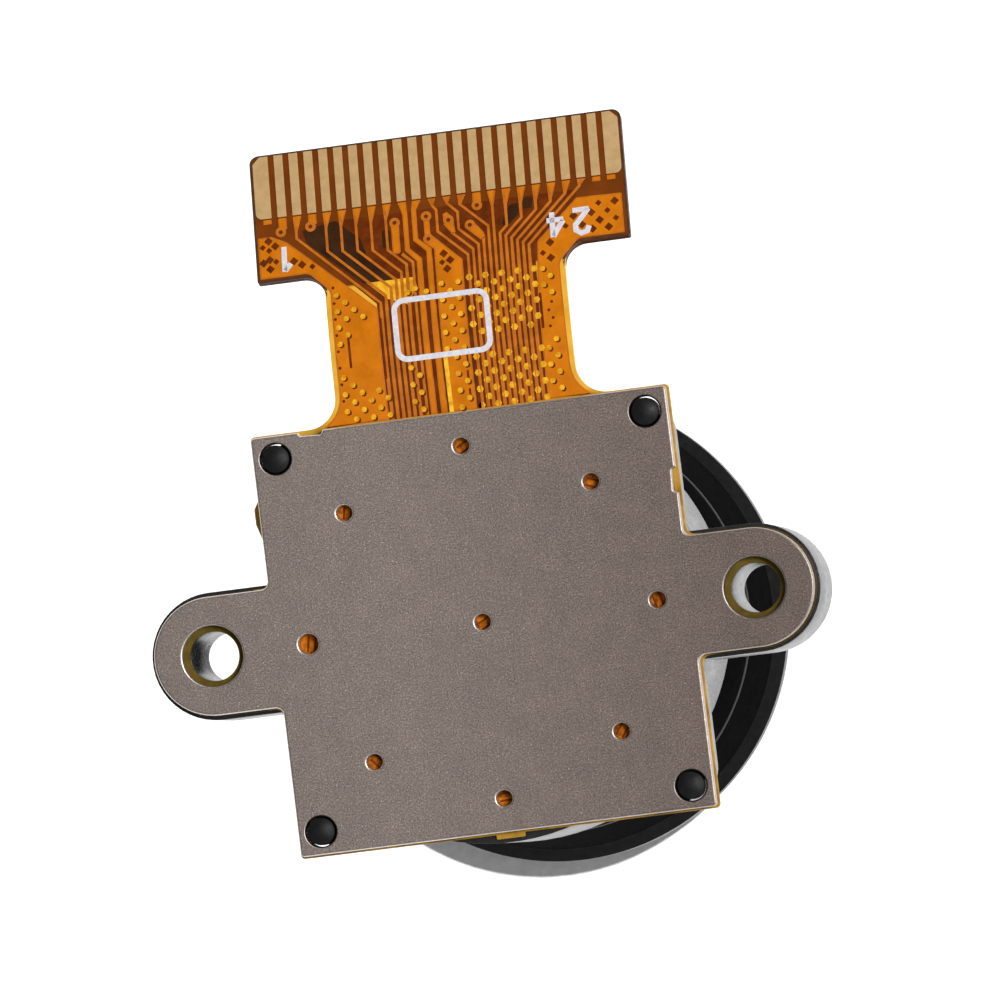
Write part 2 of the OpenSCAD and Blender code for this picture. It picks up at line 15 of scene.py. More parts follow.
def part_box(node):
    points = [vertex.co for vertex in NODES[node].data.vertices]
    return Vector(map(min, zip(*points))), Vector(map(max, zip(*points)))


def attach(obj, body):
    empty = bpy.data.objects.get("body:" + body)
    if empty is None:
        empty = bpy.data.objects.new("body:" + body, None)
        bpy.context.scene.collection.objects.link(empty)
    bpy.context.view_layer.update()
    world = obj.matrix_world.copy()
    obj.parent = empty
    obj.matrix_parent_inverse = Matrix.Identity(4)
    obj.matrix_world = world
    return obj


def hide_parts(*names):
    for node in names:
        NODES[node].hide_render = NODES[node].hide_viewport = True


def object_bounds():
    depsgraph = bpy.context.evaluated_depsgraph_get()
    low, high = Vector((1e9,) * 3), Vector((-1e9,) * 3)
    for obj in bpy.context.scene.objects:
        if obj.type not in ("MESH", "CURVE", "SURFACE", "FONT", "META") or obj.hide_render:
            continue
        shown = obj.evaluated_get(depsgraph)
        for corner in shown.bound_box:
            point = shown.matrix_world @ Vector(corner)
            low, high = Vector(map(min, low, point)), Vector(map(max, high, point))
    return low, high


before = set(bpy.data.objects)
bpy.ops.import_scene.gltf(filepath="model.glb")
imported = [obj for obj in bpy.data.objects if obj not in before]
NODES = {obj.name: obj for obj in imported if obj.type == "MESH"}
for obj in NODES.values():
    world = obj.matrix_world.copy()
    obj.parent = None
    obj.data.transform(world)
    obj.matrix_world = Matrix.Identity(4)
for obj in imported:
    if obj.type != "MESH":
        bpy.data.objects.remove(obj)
CAD_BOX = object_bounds()
MM = 0.001


def box_mm(node):
    """A node's lowest and highest corners in millimetres."""
    low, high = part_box(node)
    return Vector(low) / MM, Vector(high) / MM


# ---------------------------------------------------------------- sizes (mm)

PLATE_LOW, PLATE_HIGH = box_mm("stiffener_plate")
PLATE_HALF = 6.9
PLATE_CORNER_R = 0.13
EAR_PITCH = 18.0
EAR_R = 1.95
EAR_FILLET_R = 0.25
EAR_HOLE_R = 1.0
NICK = 0.15
PEG_PLACE = 6.14
PEG_HOLE_R = 0.5
VENTS_IN_RING = 8
VENT_RING_R = 5.8
VENT_R = 0.26
WIDE_VENT_R = 0.33

# The flexible circuit, with y measured along the flat sheet
FLEX_TOP = box_mm("bonding_film")[0].z
FLEX_THICK = 0.12
FLEX_HALF = 6.965
FLEX_CORNER_R = 0.15
FLEX_EAR_R = 2.0
FLEX_EAR_HOLE_R = 0.82
STUB = 0.15
STUB_HALF = 0.475
NECK_HALF = 4.0
NECK_ROOT_R = 1.0
NECK_TIP_R = 0.75
HEAD_HALF = 6.225
HEAD_BASE = 12.1
HEAD_BASE_R = 0.08
HEAD_TIP = 16.6
HEAD_TIP_R = 0.3
TAIL_SIDE = [
    (NECK_HALF, HEAD_BASE, NECK_TIP_R),
    (HEAD_HALF, HEAD_BASE, HEAD_BASE_R),
    (HEAD_HALF, HEAD_TIP, HEAD_TIP_R),
]
STIFFENER_START = HEAD_BASE - 0.5
STIFFENER_THICK = 0.18
BEND_START = 7.35
BEND_ANGLE = math.radians(18)
BEND_LENGTH = 4.0
BEND_R = BEND_LENGTH / BEND_ANGLE

FINGERS = 24
PITCH = 0.5
FINGER_WIDTH = 0.31
FINGER_BASE = HEAD_TIP - 2.27
FINGER_TIP = HEAD_TIP - 0.07
FINGER_THICK = 0.035
OUTER_EXTRA = 0.22
OUTER_CUT = 0.24

# Tracks: how wide they are, how far apart their lanes lie, and where they stop under the plate
LINE = 0.09
NECK_LINE = LINE * 1.3
LEFT_LANE = 0.19
RIGHT_LANE = 0.185
FINGER_SHIFT = -0.07
COPPER_END = 6.95

# How far each thin layer stands out over the film, from the lowest up
LAYER_TOP = {
    "lower_copper": 0.003,
    "head_rim": 0.004,
    "dark_patches": 0.005,
    "vent_film": 0.010,
    "clear_triangle": 0.012,
    "vent_gaps": 0.013,
    "ground_copper": 0.014,
    "ground_fill": 0.017,
    "copper_traces": 0.018,
    "dark_openings": 0.0195,
    "opening_shades": 0.0200,
    "pour_slits": 0.0205,
    "mesh_film": 0.0205,
    "copper_fill": 0.021,
    "clear_strip": 0.022,
    "opening_film": 0.0225,
    "mesh_lines": 0.0225,
    "via_holes": 0.0235,
    "cover_edge_shadow": 0.0235,
    "via_rings": 0.026,
    "white_print": 0.034,
}


# ---------------------------------------------------------------- mesh tools


def corner(a, b, c, r, steps):
    """Points of a fillet of radius r at the corner b, between a and c."""
    b = Vector(b)
    to_a = (Vector(a) - b).normalized()
    to_c = (Vector(c) - b).normalized()
    half = to_a.angle(to_c) / 2
    if r <= 0 or half > 1.55:  # not rounded, or nearly straight
        return [b]
    centre = b + (to_a + to_c).normalized() * (r / math.sin(half))
    first = b + to_a * (r / math.tan(half)) - centre
    last = b + to_c * (r / math.tan(half)) - centre
    start = math.atan2(first.y, first.x)
    turn = math.atan2(last.y, last.x) - start
    turn = (turn + math.pi) % (2 * math.pi) - math.pi
    turns = [start + turn * i / steps for i in range(steps + 1)]
    return [centre + Vector((math.cos(t), math.sin(t))) * r for t in turns]


def outline(corners, steps=8):
    """Closed outline from corners (x, y, radius), without repeated points."""
    points = []
    count = len(corners)
    for i, (x, y, r) in enumerate(corners):
        before = corners[i - 1][:2]
        after = corners[(i + 1) % count][:2]
        for p in corner(before, (x, y), after, r, steps):
            if not points or (p - points[-1]).length > 1e-5:
                points.append(p)
    if (points[0] - points[-1]).length < 1e-5:
        points.pop()
    return points


def mirrored(corners):
    """The same corners (x, y, radius) on the other side of x = 0, the other way round."""
    return [(-x, y, r) for x, y, r in reversed(corners)]


def polygon(*places):
    """An outline with no rounded corners."""
    return [Vector(p) for p in places]


def circle(x, y, r, steps):
    """Anticlockwise points of a circle, or of a regular polygon when there are few."""
    turns = [2 * math.pi * i / steps for i in range(steps)]
    return [Vector((x + r * math.cos(t), y + r * math.sin(t))) for t in turns]


def rectangle(x0, y0, x1, y1, r=0.0):
    """An upright rectangle between two corners, with rounded corners."""
    return outline([(x0, y0, r), (x1, y0, r), (x1, y1, r), (x0, y1, r)])


def sideways(before, at, after, distance):
    """A point moved to the right of its line, far enough to keep mitred corners parallel."""
    a = (at - before).normalized()
    b = (after - at).normalized()
    along = (a + b).normalized()
    return at + Vector((along.y, -along.x)) * (distance / max(0.4, along.dot(a)))


def grown(points, distance):
    """An anticlockwise outline moved outwards, or inwards below zero."""
    count = len(points)
    return [
        sideways(points[i - 1], p, points[(i + 1) % count], distance) for i, p in enumerate(points)
    ]


def stroke(places):
    """Outline of a line through places (x, y, width)."""
    line = [Vector(p[:2]) for p in places]
    line = [line[0] * 2 - line[1]] + line + [line[-1] * 2 - line[-2]]
    right = [sideways(*line[i : i + 3], places[i][2] / 2) for i in range(len(places))]
    left = [sideways(*line[i : i + 3], -places[i][2] / 2) for i in range(len(places))]
    return right + left[::-1]


def pierced(outer, *holes):
    """A filled outline with holes in it."""
    return [outer] + [hole[::-1] for hole in holes]


def bend_point(p):
    """From the flat circuit (z up from its top face) to the drooping tail."""
    run = p.y - BEND_START
    if run <= 0:
        return Vector((p.x, p.y, FLEX_TOP + p.z))
    angle = min(run / BEND_R, BEND_ANGLE)
    straight = max(run - BEND_LENGTH, 0.0)
    r = BEND_R + p.z
    return Vector(
        (
            p.x,
            BEND_START + r * math.sin(angle) + straight * math.cos(angle),
            FLEX_TOP - BEND_R + r * math.cos(angle) - straight * math.sin(angle),
        )
    )


def finish_mesh(obj, smooth_angle=35.0):
    """Scales a mesh made in millimetres to metres, and shades it with its large flats kept flat."""
    mesh = obj.data
    mesh.transform(Matrix.Scale(MM, 4))
    mesh.shade_smooth()
    mesh.set_sharp_from_angle(angle=math.radians(smooth_angle))
    bm = bmesh.new()
    bm.from_mesh(mesh)
    level = bm.faces.layers.int.get("level")
    if level:
        for edge in bm.edges:
            if len({face[level] for face in edge.link_faces}) > 1:
                edge.smooth = False
        bm.to_mesh(mesh)
    bm.free()
    mesh.update()


def give_faces(obj, chosen):
    """Gives each face of a piece the material with the number that the rule names."""
    for face in obj.data.polygons:
        face.material_index = int(chosen(face))


def mark_levels(bm):
    """Tells the faces that lie level from the rims, before any bend."""
    bm.normal_update()
    level = bm.faces.layers.int.new("level")
    for face in bm.faces:
        face[level] = int(abs(face.normal.z) > 0.999)


def new_object(name, mesh, materials):
    """Puts a mesh into the scene, on the part's one body, with one or more materials."""
    obj = bpy.data.objects.new(name, mesh)
    bpy.context.scene.collection.objects.link(obj)
    for m in materials if isinstance(materials, (list, tuple)) else [materials]:
        mesh.materials.append(m)
    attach(obj, "root")
    return obj


def new_piece(name, bm, materials, smooth_angle=35.0):
    """Turns edited faces, in millimetres, into a finished object."""
    mesh = bpy.data.meshes.new(name)
    bm.to_mesh(mesh)
    bm.free()
    obj = new_object(name, mesh, materials)
    finish_mesh(obj, smooth_angle)
    return obj


def slab_mesh(name, outlines, low, high, edge, rings):
    """A flat solid between two heights with rounded rims, from outlines that may hold holes."""
    curve = bpy.data.curves.new(name, "CURVE")
    curve.dimensions = "2D"
    curve.fill_mode = "BOTH"
    curve.extrude = (high - low) / 2 - edge
    curve.bevel_depth = edge
    curve.bevel_resolution = rings
    curve.offset = -edge
    for points in outlines:
        spline = curve.splines.new("POLY")
        spline.points.add(len(points) - 1)
        for target, p in zip(spline.points, points):
            target.co = (p.x, p.y, 0.0, 1.0)
        spline.use_cyclic_u = True
    temporary = bpy.data.objects.new(name, curve)
    bpy.context.scene.collection.objects.link(temporary)
    graph = bpy.context.evaluated_depsgraph_get()
    mesh = bpy.data.meshes.new_from_object(temporary.evaluated_get(graph))
    bpy.data.objects.remove(temporary)
    bpy.data.curves.remove(curve)
    mesh.transform(Matrix.Translation((0, 0, (low + high) / 2)))
    bm = bmesh.new()
    bm.from_mesh(mesh)
    bmesh.ops.remove_doubles(bm, verts=bm.verts, dist=1e-5)
    bmesh.ops.recalc_face_normals(bm, faces=bm.faces)
    mark_levels(bm)
    bm.to_mesh(mesh)
    bm.free()
    return mesh


def bent_slab(name, groups, low, high, material, edge, rings=1, cuts=24):
    """A slab drawn on the flat circuit, group by group, then bent with it."""
    bm = bmesh.new()
    for outlines in groups:
        mesh = slab_mesh(name, outlines, low, high, edge, rings)
        bm.from_mesh(mesh)
        bpy.data.meshes.remove(mesh)
    for i in range(cuts + 1):
        bmesh.ops.bisect_plane(
            bm,
            geom=bm.verts[:] + bm.edges[:] + bm.faces[:],
            dist=1e-6,
            plane_co=(0, BEND_START + BEND_LENGTH * i / cuts, 0),
            plane_no=(0, 1, 0),
        )
    flat = bm.loops.layers.uv.new("flat")
    for face in bm.faces:
        for loop in face.loops:
            loop[flat].uv = loop.vert.co.xy
    for vert in bm.verts:
        vert.co = bend_point(vert.co)
    return new_piece(name, bm, material)


def lathe(name, profile, material, segments):
    """Turns a closed profile of (radius, z) about the optical axis."""
    bm = bmesh.new()
    rings = []
    for r, z in profile:
        if r < 1e-6:
            rings.append([bm.verts.new((0, 0, z))] * segments)
            continue
        turns = [2 * math.pi * i / segments for i in range(segments)]
        rings.append([bm.verts.new((r * math.cos(t), r * math.sin(t), z)) for t in turns])
    for i in range(len(rings)):
        a, b = rings[i - 1], rings[i]
        for j in range(segments):
            k = (j + 1) % segments
            loop = []
            for v in (a[j], a[k], b[k], b[j]):
                if v not in loop:
                    loop.append(v)
            if len(loop) > 2:
                bm.faces.new(loop)
    bmesh.ops.recalc_face_normals(bm, faces=bm.faces)
    return new_piece(name, bm, material)


def dressed(name, node, material, width):
    """A copy of a node's mesh with its sharp edges rounded."""
    mesh = NODES[node].data.copy()
    mesh.materials.clear()
    mesh.transform(Matrix.Scale(1 / MM, 4))
    bm = bmesh.new()
    bm.from_mesh(mesh)
    bmesh.ops.remove_doubles(bm, verts=bm.verts, dist=1e-4)
    bmesh.ops.dissolve_limit(bm, angle_limit=math.radians(0.5), verts=bm.verts, edges=bm.edges)
    bm.to_mesh(mesh)
    bm.free()
    obj = new_object(name, mesh, material)
    bevel = obj.modifiers.new("edges", "BEVEL")
    bevel.width = width
    bevel.segments = 3
    bevel.limit_method = "ANGLE"
    bevel.angle_limit = math.radians(40)
    bevel.use_clamp_overlap = True
    graph = bpy.context.evaluated_depsgraph_get()
    rounded = bpy.data.meshes.new_from_object(obj.evaluated_get(graph))
    obj.modifiers.clear()
    bm = bmesh.new()
    bm.from_mesh(rounded)
    mark_levels(bm)
    bm.to_mesh(rounded)
    bm.free()
    obj.data = rounded
    bpy.data.meshes.remove(mesh)
    rounded.name = name
    finish_mesh(obj)
    return obj


# ---------------------------------------------------------------- materials


def set_range(node, start, end, low, high):
    """Sets the four limits of a map range node."""
    sockets = ("From Min", "From Max", "To Min", "To Max")
    for socket, number in zip(sockets, (start, end, low, high)):
        node.inputs[socket].default_value = number


class Look:
    """A procedural material: a Principled shader with nodes on its sockets."""

    def __init__(self, name, rough=0.5, metal=0.0, **sockets):
        self.material = bpy.data.materials.new(name)
        self.material.use_nodes = True
        self.tree = self.material.node_tree
        self.shader = self.tree.nodes["Principled BSDF"]
        self.shader.inputs["Roughness"].default_value = rough
        self.shader.inputs["Metallic"].default_value = metal
        for socket, value in sockets.items():
            self.shader.inputs[socket.replace("_", " ")].default_value = value
        self.place = self.tree.nodes.new("ShaderNodeTexCoord").outputs["Object"]

    def node(self, kind, **inputs):
        """A new node, with each named input linked to a socket or set to a value."""
        made = self.tree.nodes.new(kind)
        for socket, value in inputs.items():
            target = made.inputs[socket.replace("_", " ")]
            if isinstance(value, bpy.types.NodeSocket):
                self.tree.links.new(value, target)
            else:
                target.default_value = value
        return made

    def stretched(self, x, y, z):
        """The place on the object, scaled along each axis."""
        mapping = self.node("ShaderNodeMapping", Vector=self.place)
        mapping.inputs["Scale"].default_value = (x, y, z)
        return mapping.outputs["Vector"]

    def noise(self, per_mm, detail=4.0, rough=0.6, at=None):
        """Noise with about this many features per millimetre."""
        made = self.node("ShaderNodeTexNoise", Vector=at or self.place, Scale=per_mm / MM)
        made.inputs["Detail"].default_value = detail
        made.inputs["Roughness"].default_value = rough
        return made.outputs["Fac"]

    def ramp(self, value, stops):
        """Colours at places along a value: [(place, (r, g, b))]."""
        made = self.node("ShaderNodeValToRGB", Fac=value)
        band = made.color_ramp
        while len(band.elements) < len(stops):
            band.elements.new(0.5)
        for element, (place, colour) in zip(band.elements, stops):
            element.position = place
            element.color = (*colour, 1.0)
        return made.outputs["Color"]

    def mix(self, how, factor, a, b):
        """Two colours blended in one of the mix node's ways."""
        made = self.tree.nodes.new("ShaderNodeMix")
        made.data_type = "RGBA"
        made.blend_type = how
        for socket, value in ((made.inputs[0], factor), (made.inputs[6], a), (made.inputs[7], b)):
            if isinstance(value, bpy.types.NodeSocket):
                self.tree.links.new(value, socket)
            elif isinstance(value, tuple):
                socket.default_value = (*value, 1.0)
            else:
                socket.default_value = value
        return made.outputs[2]

    def ranged(self, value, low, high, start=0.3, end=0.7):
        """Low to high while the value goes from start to end."""
        made = self.node("ShaderNodeMapRange", Value=value)
        set_range(made, start, end, low, high)
        return made.outputs["Result"]

    def link(self, value, socket):
        """Feeds one of the shader's own sockets."""
        self.tree.links.new(value, self.shader.inputs[socket])

    def bump(self, height, depth_mm, strength=1.0):
        """Surface relief from a height between 0 and 1."""
        made = self.node("ShaderNodeBump", Height=height, Strength=strength, Distance=depth_mm * MM)
        self.link(made.outputs["Normal"], "Normal")


def speckled(name, dark, light, per_mm, rough, metal=0.0, depth=0.004, grain=12.0, **sockets):
    """A plain finish with mottled colour, uneven gloss and a fine grain."""
    spread = 0.06
    look = Look(name, rough, metal, **sockets)
    mottle = look.noise(per_mm)
    look.link(look.ramp(mottle, [(0.35, dark), (0.65, light)]), "Base Color")
    look.link(look.ranged(look.noise(per_mm * 1.7), rough - spread, rough + spread), "Roughness")
    look.bump(look.noise(grain, detail=3.0), depth)
    return look.material


def steel_look(name, low, middle, high, rough):
    """Rolled sheet: fine pits, bright specks, clouds and faint streaks, and painted shade darker
    towards the right.
    """
    white = (1.0, 1.0, 1.0)
    look = Look(name, rough, 1.0)
    grain = look.noise(19.0, detail=3.0, rough=0.85)
    specks = look.noise(15.0, detail=1.0, at=look.stretched(1.0, 1.3, 1.0))
    cloud = look.noise(0.9, detail=5.0, rough=0.7)
    streak = look.noise(1.0, detail=3.0, at=look.stretched(9.0, 0.7, 1.0))
    base = look.ramp(grain, [(0.28, low), (0.5, middle), (0.74, high)])
    clouds = look.ramp(cloud, [(0.3, (0.80, 0.80, 0.81)), (0.7, (1.0, 0.99, 0.98))])
    base = look.mix("MULTIPLY", 0.8, base, clouds)
    streaks = look.ramp(streak, [(0.35, (0.84, 0.83, 0.82)), (0.6, white)])
    base = look.mix("MULTIPLY", 0.35, base, streaks)
    base = look.mix("MIX", look.ranged(specks, 0.0, 0.6, 0.66, 0.74), base, (0.75, 0.70, 0.64))
    # Painted shade: the colour is darkened towards the right, standing in for the dimmer reflection
    # on that side.
    across = look.node("ShaderNodeSeparateXYZ", Vector=look.place).outputs["X"]
    painted_shade_right = look.ranged(across, 0.0, 1.0, -3 * MM, 9 * MM)
    base = look.mix("MULTIPLY", painted_shade_right, base, (0.59, 0.565, 0.55))
    look.link(base, "Base Color")
    look.link(look.ranged(grain, rough - 0.08, rough + 0.12), "Roughness")
    look.bump(grain, 0.004, 0.7)
    return look.material


def glass_look(name, tint, film=0.0):
    """Clear glass with a slight tint, faint wear, and a coating as thick as film nanometres."""
    rough = 0.02
    look = Look(name, rough, 0.0, Transmission_Weight=1.0, IOR=1.52)
    worn = tuple(min(1.0, c * 1.04) for c in tint)
    look.link(look.ramp(look.noise(0.8), [(0.3, tint), (0.7, worn)]), "Base Color")
    look.link(look.ranged(look.noise(3.0), rough, rough + 0.02), "Roughness")
    if film:
        look.shader.inputs["Thin Film Thickness"].default_value = film
        look.shader.inputs["Thin Film IOR"].default_value = 1.38
    return look.material


def film_look():
    """Bare film: painted shade where it lies by the plate and in its ears, golden in the neck,
    brown on the backed head.
    """
    look = Look("polyimide", 0.34, Specular_IOR_Level=0.12)
    flat = look.node("ShaderNodeUVMap")
    flat.uv_map = "flat"
    sheet = look.node("ShaderNodeSeparateXYZ", Vector=flat.outputs["UV"]).outputs
    off_axis = look.node("ShaderNodeMath", Value=sheet["X"])
    off_axis.operation = "ABSOLUTE"
    start = STIFFENER_START
    backed = look.ranged(sheet["Y"], 0.0, 1.0, start - 0.04, start + 0.04)
    free = look.ranged(sheet["Y"], 0.0, 1.0, PLATE_HALF - 0.1, PLATE_HALF + 0.3)
    eared = look.ranged(off_axis.outputs["Value"], 0.0, 1.0, PLATE_HALF + 0.3, PLATE_HALF + 0.6)
    mottle = look.noise(1.2)
    # Painted shade: the film round the plate and in its ear holes gets darker colours, darkest in
    # the ears.
    ears = look.ramp(mottle, [(0.38, (0.036, 0.021, 0.001)), (0.70, (0.088, 0.047, 0.003))])
    sides = look.ramp(mottle, [(0.35, (0.22, 0.115, 0.010)), (0.65, (0.46, 0.26, 0.030))])
    neck = look.ramp(mottle, [(0.35, (0.62, 0.31, 0.020)), (0.65, (0.74, 0.40, 0.045))])
    head = look.ramp(mottle, [(0.35, (0.126, 0.027, 0.001)), (0.65, (0.164, 0.037, 0.0018))])
    body = look.mix("MIX", eared, sides, ears)
    tail = look.mix("MIX", free, body, neck)
    look.link(look.mix("MIX", backed, tail, head), "Base Color")
    look.link(look.ranged(look.noise(2.0), 0.30, 0.42), "Roughness")
    look.bump(look.noise(5.0, detail=3.0), 0.003)
    return look.material


def covered(name, dark, light, per_mm, rough=0.38):
    """A layer seen through the clear cover film."""
    return speckled(
        name, dark, light, per_mm, rough, depth=0.003, grain=7.0, Specular_IOR_Level=0.1
    )


def black(name, dark, light, per_mm, rough, grain, level, depth=0.003):
    """A nearly black finish, from its darkest and lightest grey, with its own sheen level."""
    return speckled(
        name, dark, light, per_mm, rough, depth=depth, grain=grain, Specular_IOR_Level=level
    )


STEEL = steel_look(
    "stainless", (0.110, 0.087, 0.075), (0.280, 0.229, 0.204), (0.560, 0.480, 0.440), 0.44
)
# Cut edges and rounded rims: partly the sheared metal's own brightness, partly a painted highlight
# along the rims.
CUT_STEEL_HIGHLIGHTED = steel_look(
    "sheared_edge_painted_highlight", (0.60, 0.55, 0.51), (0.78, 0.72, 0.68), (0.95, 0.90, 0.86), 0.34
)
PLASTIC = black(
    "moulded_black", (0.005, 0.005, 0.0057), (0.010, 0.010, 0.0110), 2.0, 0.29, 9.0, 0.5
)
PEG = black(
    "peg_black", (0.0040, 0.0040, 0.0044), (0.008, 0.008, 0.0085), 4.0, 0.5, 12.0, 0.18, 0.004
)
# Painted shade: the darkest copy of the black anodised finish, almost without sheen, for the
# barrel's back cones that lie in shade.
SHADED_ANODISED = black(
    "black_anodised", (0.0010, 0.0010, 0.0011), (0.0024, 0.0024, 0.0026), 3.0, 0.30, 14.0, 0.005
)
GLOSSY = black(
    "anodised_front", (0.0030, 0.0030, 0.0033), (0.0060, 0.0060, 0.0064), 3.0, 0.36, 14.0, 0.3
)
# Painted highlight: a lighter, glossier copy of the black anodised finish for the collar's ridge.
RIDGE_HIGHLIGHT = black(
    "anodised_ridge_painted_highlight", (0.0030, 0.0030, 0.0033), (0.0070, 0.0070, 0.0075), 3.0, 0.42, 14.0, 0.12
)
# Painted light: a lighter copy of the black anodised finish for the head's outer band, which faces
# the light.
LIT_BAND = black(
    "anodised_band_painted_light", (0.005, 0.005, 0.0056), (0.009, 0.009, 0.0096), 3.0, 0.45, 14.0, 0.04, 0.004
)
FILM = film_look()
ADHESIVE = speckled(
    "adhesive_film", (0.07, 0.045, 0.003), (0.11, 0.07, 0.006), 3.0, 0.5, Specular_IOR_Level=0.1
)
# Copper seen through the cover film. The track colour also rims each fill, as a painted highlight
# on the copper's rounded edges.
COPPER = covered("covered_copper", (0.46, 0.128, 0.0014), (0.58, 0.165, 0.003), 1.5)
TRACE = covered("covered_track", (0.37, 0.100, 0.006), (0.50, 0.145, 0.014), 2.5)
UNDER = covered("under_copper", (0.090, 0.0150, 0.0010), (0.150, 0.028, 0.0018), 2.5)
PATCH = covered("under_patch", (0.024, 0.0085, 0.003), (0.044, 0.0165, 0.005), 1.5)
WINDOW = covered("clear_film", (0.50, 0.21, 0.006), (0.88, 0.50, 0.030), 2.6)
OPEN = covered("open_film", (0.50, 0.205, 0.004), (0.80, 0.42, 0.020), 4.0)
VENT = covered("vent_copper", (0.13, 0.031, 0.0005), (0.52, 0.148, 0.0022), 5.0)
RIM = covered("cut_edge", (0.045, 0.022, 0.010), (0.075, 0.038, 0.018), 3.0, 0.5)
GOLD = speckled(
    "gold_plate", (0.46, 0.29, 0.125), (0.53, 0.345, 0.160), 3.0, 0.42, metal=0.15,
    depth=0.002, grain=10.0, Specular_IOR_Level=0.2
)
LAMINATE = covered("polyimide_stiffener", (0.045, 0.024, 0.012), (0.070, 0.036, 0.018), 1.0)
PRINT = speckled(
    "white_print", (0.52, 0.51, 0.56), (0.66, 0.64, 0.68), 7.0, 0.6,
    depth=0.008, grain=14.0, Specular_IOR_Level=0.2
)
GLASS = glass_look("lens_glass", (0.90, 0.96, 0.97), film=420.0)
FRONT_GLASS = glass_look("front_glass", (0.86, 0.94, 0.97), film=480.0)
CLEAR = glass_look("cover_glass", (0.92, 0.97, 0.97))
FILTER = glass_look("filter_glass", (0.55, 0.86, 0.84), film=600.0)
SPACER = speckled("spacer", (0.010, 0.010, 0.010), (0.016, 0.016, 0.016), 3.0, 0.6)
CHIP = speckled("chip", (0.020, 0.020, 0.022), (0.035, 0.035, 0.038), 4.0, 0.45)
CERAMIC = speckled("capacitor", (0.30, 0.19, 0.11), (0.40, 0.26, 0.16), 5.0, 0.45)
RUBBER = speckled("rubber_seal", (0.012, 0.012, 0.012), (0.02, 0.02, 0.02), 4.0, 0.7)


# ---------------------------------------------------------------- camera, floor and light


def add_camera():
    """Looks down on the module from the back, about eight degrees off its axis."""
    data = bpy.data.cameras.new("camera")
    data.lens = 385
    data.sensor_width = 36
    data.clip_start = 0.01
    data.clip_end = 10
    camera = bpy.data.objects.new("camera", data)
    right = Vector((0.98292, -0.12213, -0.13769))
    up = Vector((0.12653, 0.99168, 0.02368))
    back = right.cross(up).normalized()
    up = back.cross(right).normalized()
    turn = Matrix((right.normalized(), up, back)).transposed().to_4x4()
    camera.matrix_world = Matrix.Translation(Vector((47.71, -10.334, 345.64)) * MM) @ turn
    bpy.context.scene.collection.objects.link(camera)
    bpy.context.scene.camera = camera


def add_floor():
    """A plain pale table under the lens's rim."""
    look = Look("floor", 0.6)
    mottle = look.ramp(look.noise(3.0), [(0.3, (0.78, 0.78, 0.79)), (0.7, (0.94, 0.94, 0.95))])
    look.link(mottle, "Base Color")
    mesh = bpy.data.meshes.new("floor")
    bm = bmesh.new()
    bmesh.ops.create_circle(bm, cap_ends=True, segments=64, radius=3.0)
    bm.to_mesh(mesh)
    bm.free()
    mesh.materials.append(look.material)
    floor = bpy.data.objects.new("floor", mesh)
    floor.location.z = CAD_BOX[0][2]
    bpy.context.scene.collection.objects.link(floor)
    return floor


def add_light(name, azimuth, elevation, distance, size, power):
    """A round lamp that looks at the module from an azimuth and elevation in degrees."""
    data = bpy.data.lights.new(name, "AREA")
    data.shape = "DISK"
    data.size = size
    data.energy = power
    lamp = bpy.data.objects.new(name, data)
    az, el = math.radians(azimuth), math.radians(elevation)
    away = Vector((math.cos(az) * math.cos(el), math.sin(az) * math.cos(el), math.sin(el)))
    lamp.location = away * distance
    lamp.rotation_euler = away.to_track_quat("Z", "Y").to_euler()
    bpy.context.scene.collection.objects.link(lamp)
    return lamp


def only(name, objects):
    """A group for light linking."""
    group = bpy.data.collections.new(name)
    for obj in objects:
        group.objects.link(obj)
    return group


def add_keys(floor, shading_floor):
    """A key for the module alone, and a wash that keeps the floor white but for one shadow."""
    key = add_light("key", azimuth=15, elevation=60, distance=0.7, size=0.22, power=5.0)
    pieces = [o for o in bpy.context.scene.objects if o.type == "MESH" and o is not floor]
    key.light_linking.receiver_collection = only("lit_by_key", pieces)
    wash = add_light("floor_wash", azimuth=25, elevation=67, distance=0.9, size=0.04, power=11.5)
    wash.light_linking.receiver_collection = only("lit_by_wash", [floor])
    wash.light_linking.blocker_collection = only("shades_floor", shading_floor)


def add_world():
    """A soft tent: bright to the right and near the horizon, darker overhead."""
    world = bpy.data.worlds.new("studio")
    world.use_nodes = True
    nodes, links = world.node_tree.nodes, world.node_tree.links
    place = nodes.new("ShaderNodeTexCoord")
    dot = nodes.new("ShaderNodeVectorMath")
    dot.operation = "DOT_PRODUCT"
    dot.inputs[1].default_value = Vector((0.48, -0.34, -0.80)).normalized()
    span = nodes.new("ShaderNodeMapRange")
    set_range(span, -0.9, 0.6, 0.22, 0.80)
    links.new(place.outputs["Generated"], dot.inputs[0])
    links.new(dot.outputs["Value"], span.inputs["Value"])
    links.new(span.outputs["Result"], nodes["Background"].inputs["Strength"])
    nodes["Background"].inputs["Color"].default_value = (1.0, 1.0, 1.0, 1.0)
    bpy.context.scene.world = world
    bpy.context.scene.view_settings.view_transform = "Standard"


add_camera()
FLOOR = add_floor()
add_world()


# ---------------------------------------------------------------- plate


def eared_corners(half, corner_r, ear_r, extras):
    """Corners of the square body with its ears, anticlockwise from the lower left.

    Extras holds more corners for some of its sides: bottom, right, top and left.
    """
    reach = EAR_PITCH / 2 + ear_r
    right = [
        (half, -half, corner_r),
        (half, -ear_r, EAR_FILLET_R),
        (reach, -ear_r, ear_r),
        (reach, ear_r, ear_r),
        (half, ear_r, EAR_FILLET_R),
    ]
    return (
        extras.get("bottom", [])
        + right
        + extras.get("right", [])
        + [(half, half, corner_r)]
        + extras.get("top", [])
        + [(-half, half, corner_r)]
        + extras.get("left", [])
        + mirrored(right)
    )


